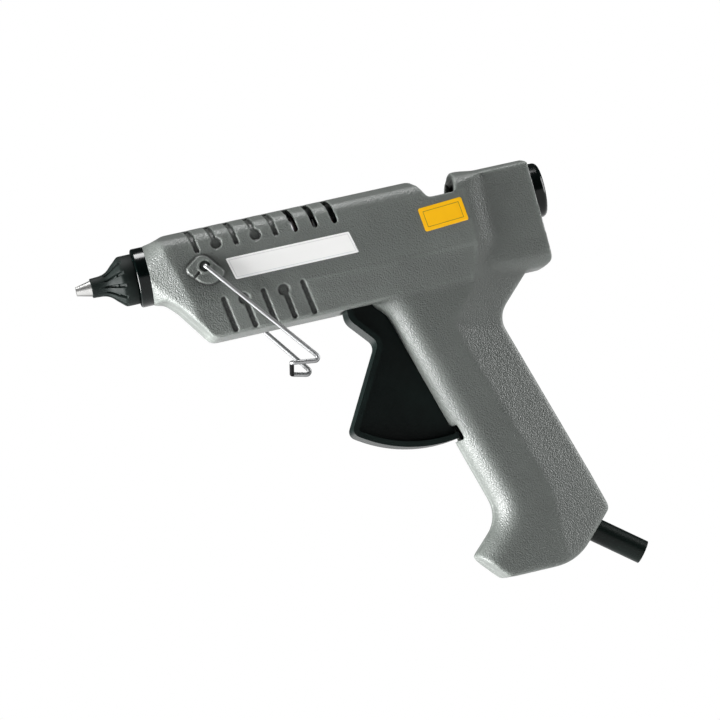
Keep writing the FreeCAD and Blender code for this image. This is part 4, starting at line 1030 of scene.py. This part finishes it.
@dataclass
class Studio:
    """Floor, backdrop, lamps and camera.

    Attributes:
        floor_z: Height of the floor.
        floor_size: Side of the floor.
        floor_grey: Grey of the floor under the lamps.
        sky_level: Level of the sky's light on the gun.
        aim: Point in the middle of the view.
        eye: Place of the camera.
        roll: Turn of the camera about its view, in degrees.
        lens: Focal length.
        sensor: Width of the sensor.
        clip: Nearest and farthest distance that the camera sees.
        lamps: The lamps.
    """

    floor_z: float = -0.50
    floor_size: float = 12
    floor_grey: float = 0.8
    sky_level: float = 0.04
    aim: Point = (-0.10905, 0.00013, -0.06392)
    eye: Point = (-0.33635, -1.81787, -0.16532)
    roll: float = 13.1
    lens: float = 183.9
    sensor: float = 36
    clip: Span = (0.05, 50)
    lamps: Tuple[Lamp, ...] = (Lamp("side_key", (-1.32, 0.0, -0.26), 0.9, 90),
                               Lamp("top_soft", (-0.1, -0.05, 1.5), 0.6, 24),
                               Lamp("rear_key", (1.4, -0.12, 0.25), 0.9, 26))

    def build(self) -> None:
        """Make the floor, the world, the lamps and the camera."""
        bpy.ops.mesh.primitive_plane_add(size=self.floor_size, location=(0, 0, self.floor_z))
        floor = bpy.context.object
        floor.name = "studio_floor"
        floor.data.materials.append(self.white("studio_white"))
        self.world()
        for lamp in self.lamps:
            lamp.build(self.aim)
        self.camera()

    def white(self, name: str) -> bpy.types.Material:
        """Make a pale material that looks white to the camera and in reflections.

        Args:
            name: Name of the material.

        Returns:
            The node material.
        """
        material = bpy.data.materials.new(name)
        material.use_nodes = True
        nodes, links = material.node_tree.nodes, material.node_tree.links
        nodes.clear()
        ray = nodes.new("ShaderNodeLightPath")
        matt = nodes.new("ShaderNodeBsdfDiffuse")
        matt.inputs["Color"].default_value = (*[self.floor_grey] * 3, 1)
        bright = nodes.new("ShaderNodeEmission")
        either = nodes.new("ShaderNodeMath")
        either.operation = "MAXIMUM"
        mix = nodes.new("ShaderNodeMixShader")
        out = nodes.new("ShaderNodeOutputMaterial")
        links.new(ray.outputs["Is Camera Ray"], either.inputs[0])
        links.new(ray.outputs["Is Glossy Ray"], either.inputs[1])
        for index, source in enumerate((either, matt, bright)):
            links.new(source.outputs[0], mix.inputs[index])
        links.new(mix.outputs[0], out.inputs[0])
        return material

    def world(self) -> None:
        """Light the scene evenly from a pale sky that shows white."""
        world = bpy.data.worlds.new("studio_sky")
        bpy.context.scene.world = world
        world.use_nodes = True
        tree = world.node_tree
        sky = tree.nodes["Background"]
        sky.inputs["Color"].default_value = (1, 1, 1, 1)
        ray = tree.nodes.new("ShaderNodeLightPath")
        level = mapped(tree, ray.outputs["Is Camera Ray"], UNIT, (self.sky_level, 1))
        tree.links.new(level, sky.inputs["Strength"])

    def camera(self) -> None:
        """Set up the camera with its roll."""
        bpy.ops.object.camera_add(location=self.eye)
        camera = bpy.context.object
        camera.name = "view_camera"
        view = Vector(self.aim) - Vector(self.eye)
        camera.rotation_mode = "QUATERNION"
        turn = Quaternion(view.normalized(), math.radians(self.roll))
        camera.rotation_quaternion = turn @ view.to_track_quat("-Z", "Y")
        camera.data.lens = self.lens
        camera.data.sensor_width = self.sensor
        camera.data.clip_start, camera.data.clip_end = self.clip
        bpy.context.scene.camera = camera


def dress_nodes() -> Dict[str, bpy.types.Material]:
    """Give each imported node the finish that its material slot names.

    Returns:
        The materials by slot.
    """
    made = {finish.name: finish.build() for finish in FINISHES}
    for part in frame["record"]["subparts"]:
        node = frame["nodes"][part["node"]]
        node.data.materials.clear()
        node.data.materials.append(made[part["material_slot"]])
        LOG.info("%s takes %s", part["node"], part["material_slot"])
    return made


def main() -> None:
    """Build the studio and the gun's pieces."""
    logging.basicConfig(level=logging.INFO)
    bpy.ops.object.select_all(action="DESELECT")
    bpy.context.scene.view_settings.view_transform = "Standard"
    Studio().build()
    looks = dress_nodes()
    Housing().build(looks)
    NozzleCap().build(looks)
    ReturnSpring().build()
    for label in LABELS:
        label.build()


if __name__ == "__main__":
    main()
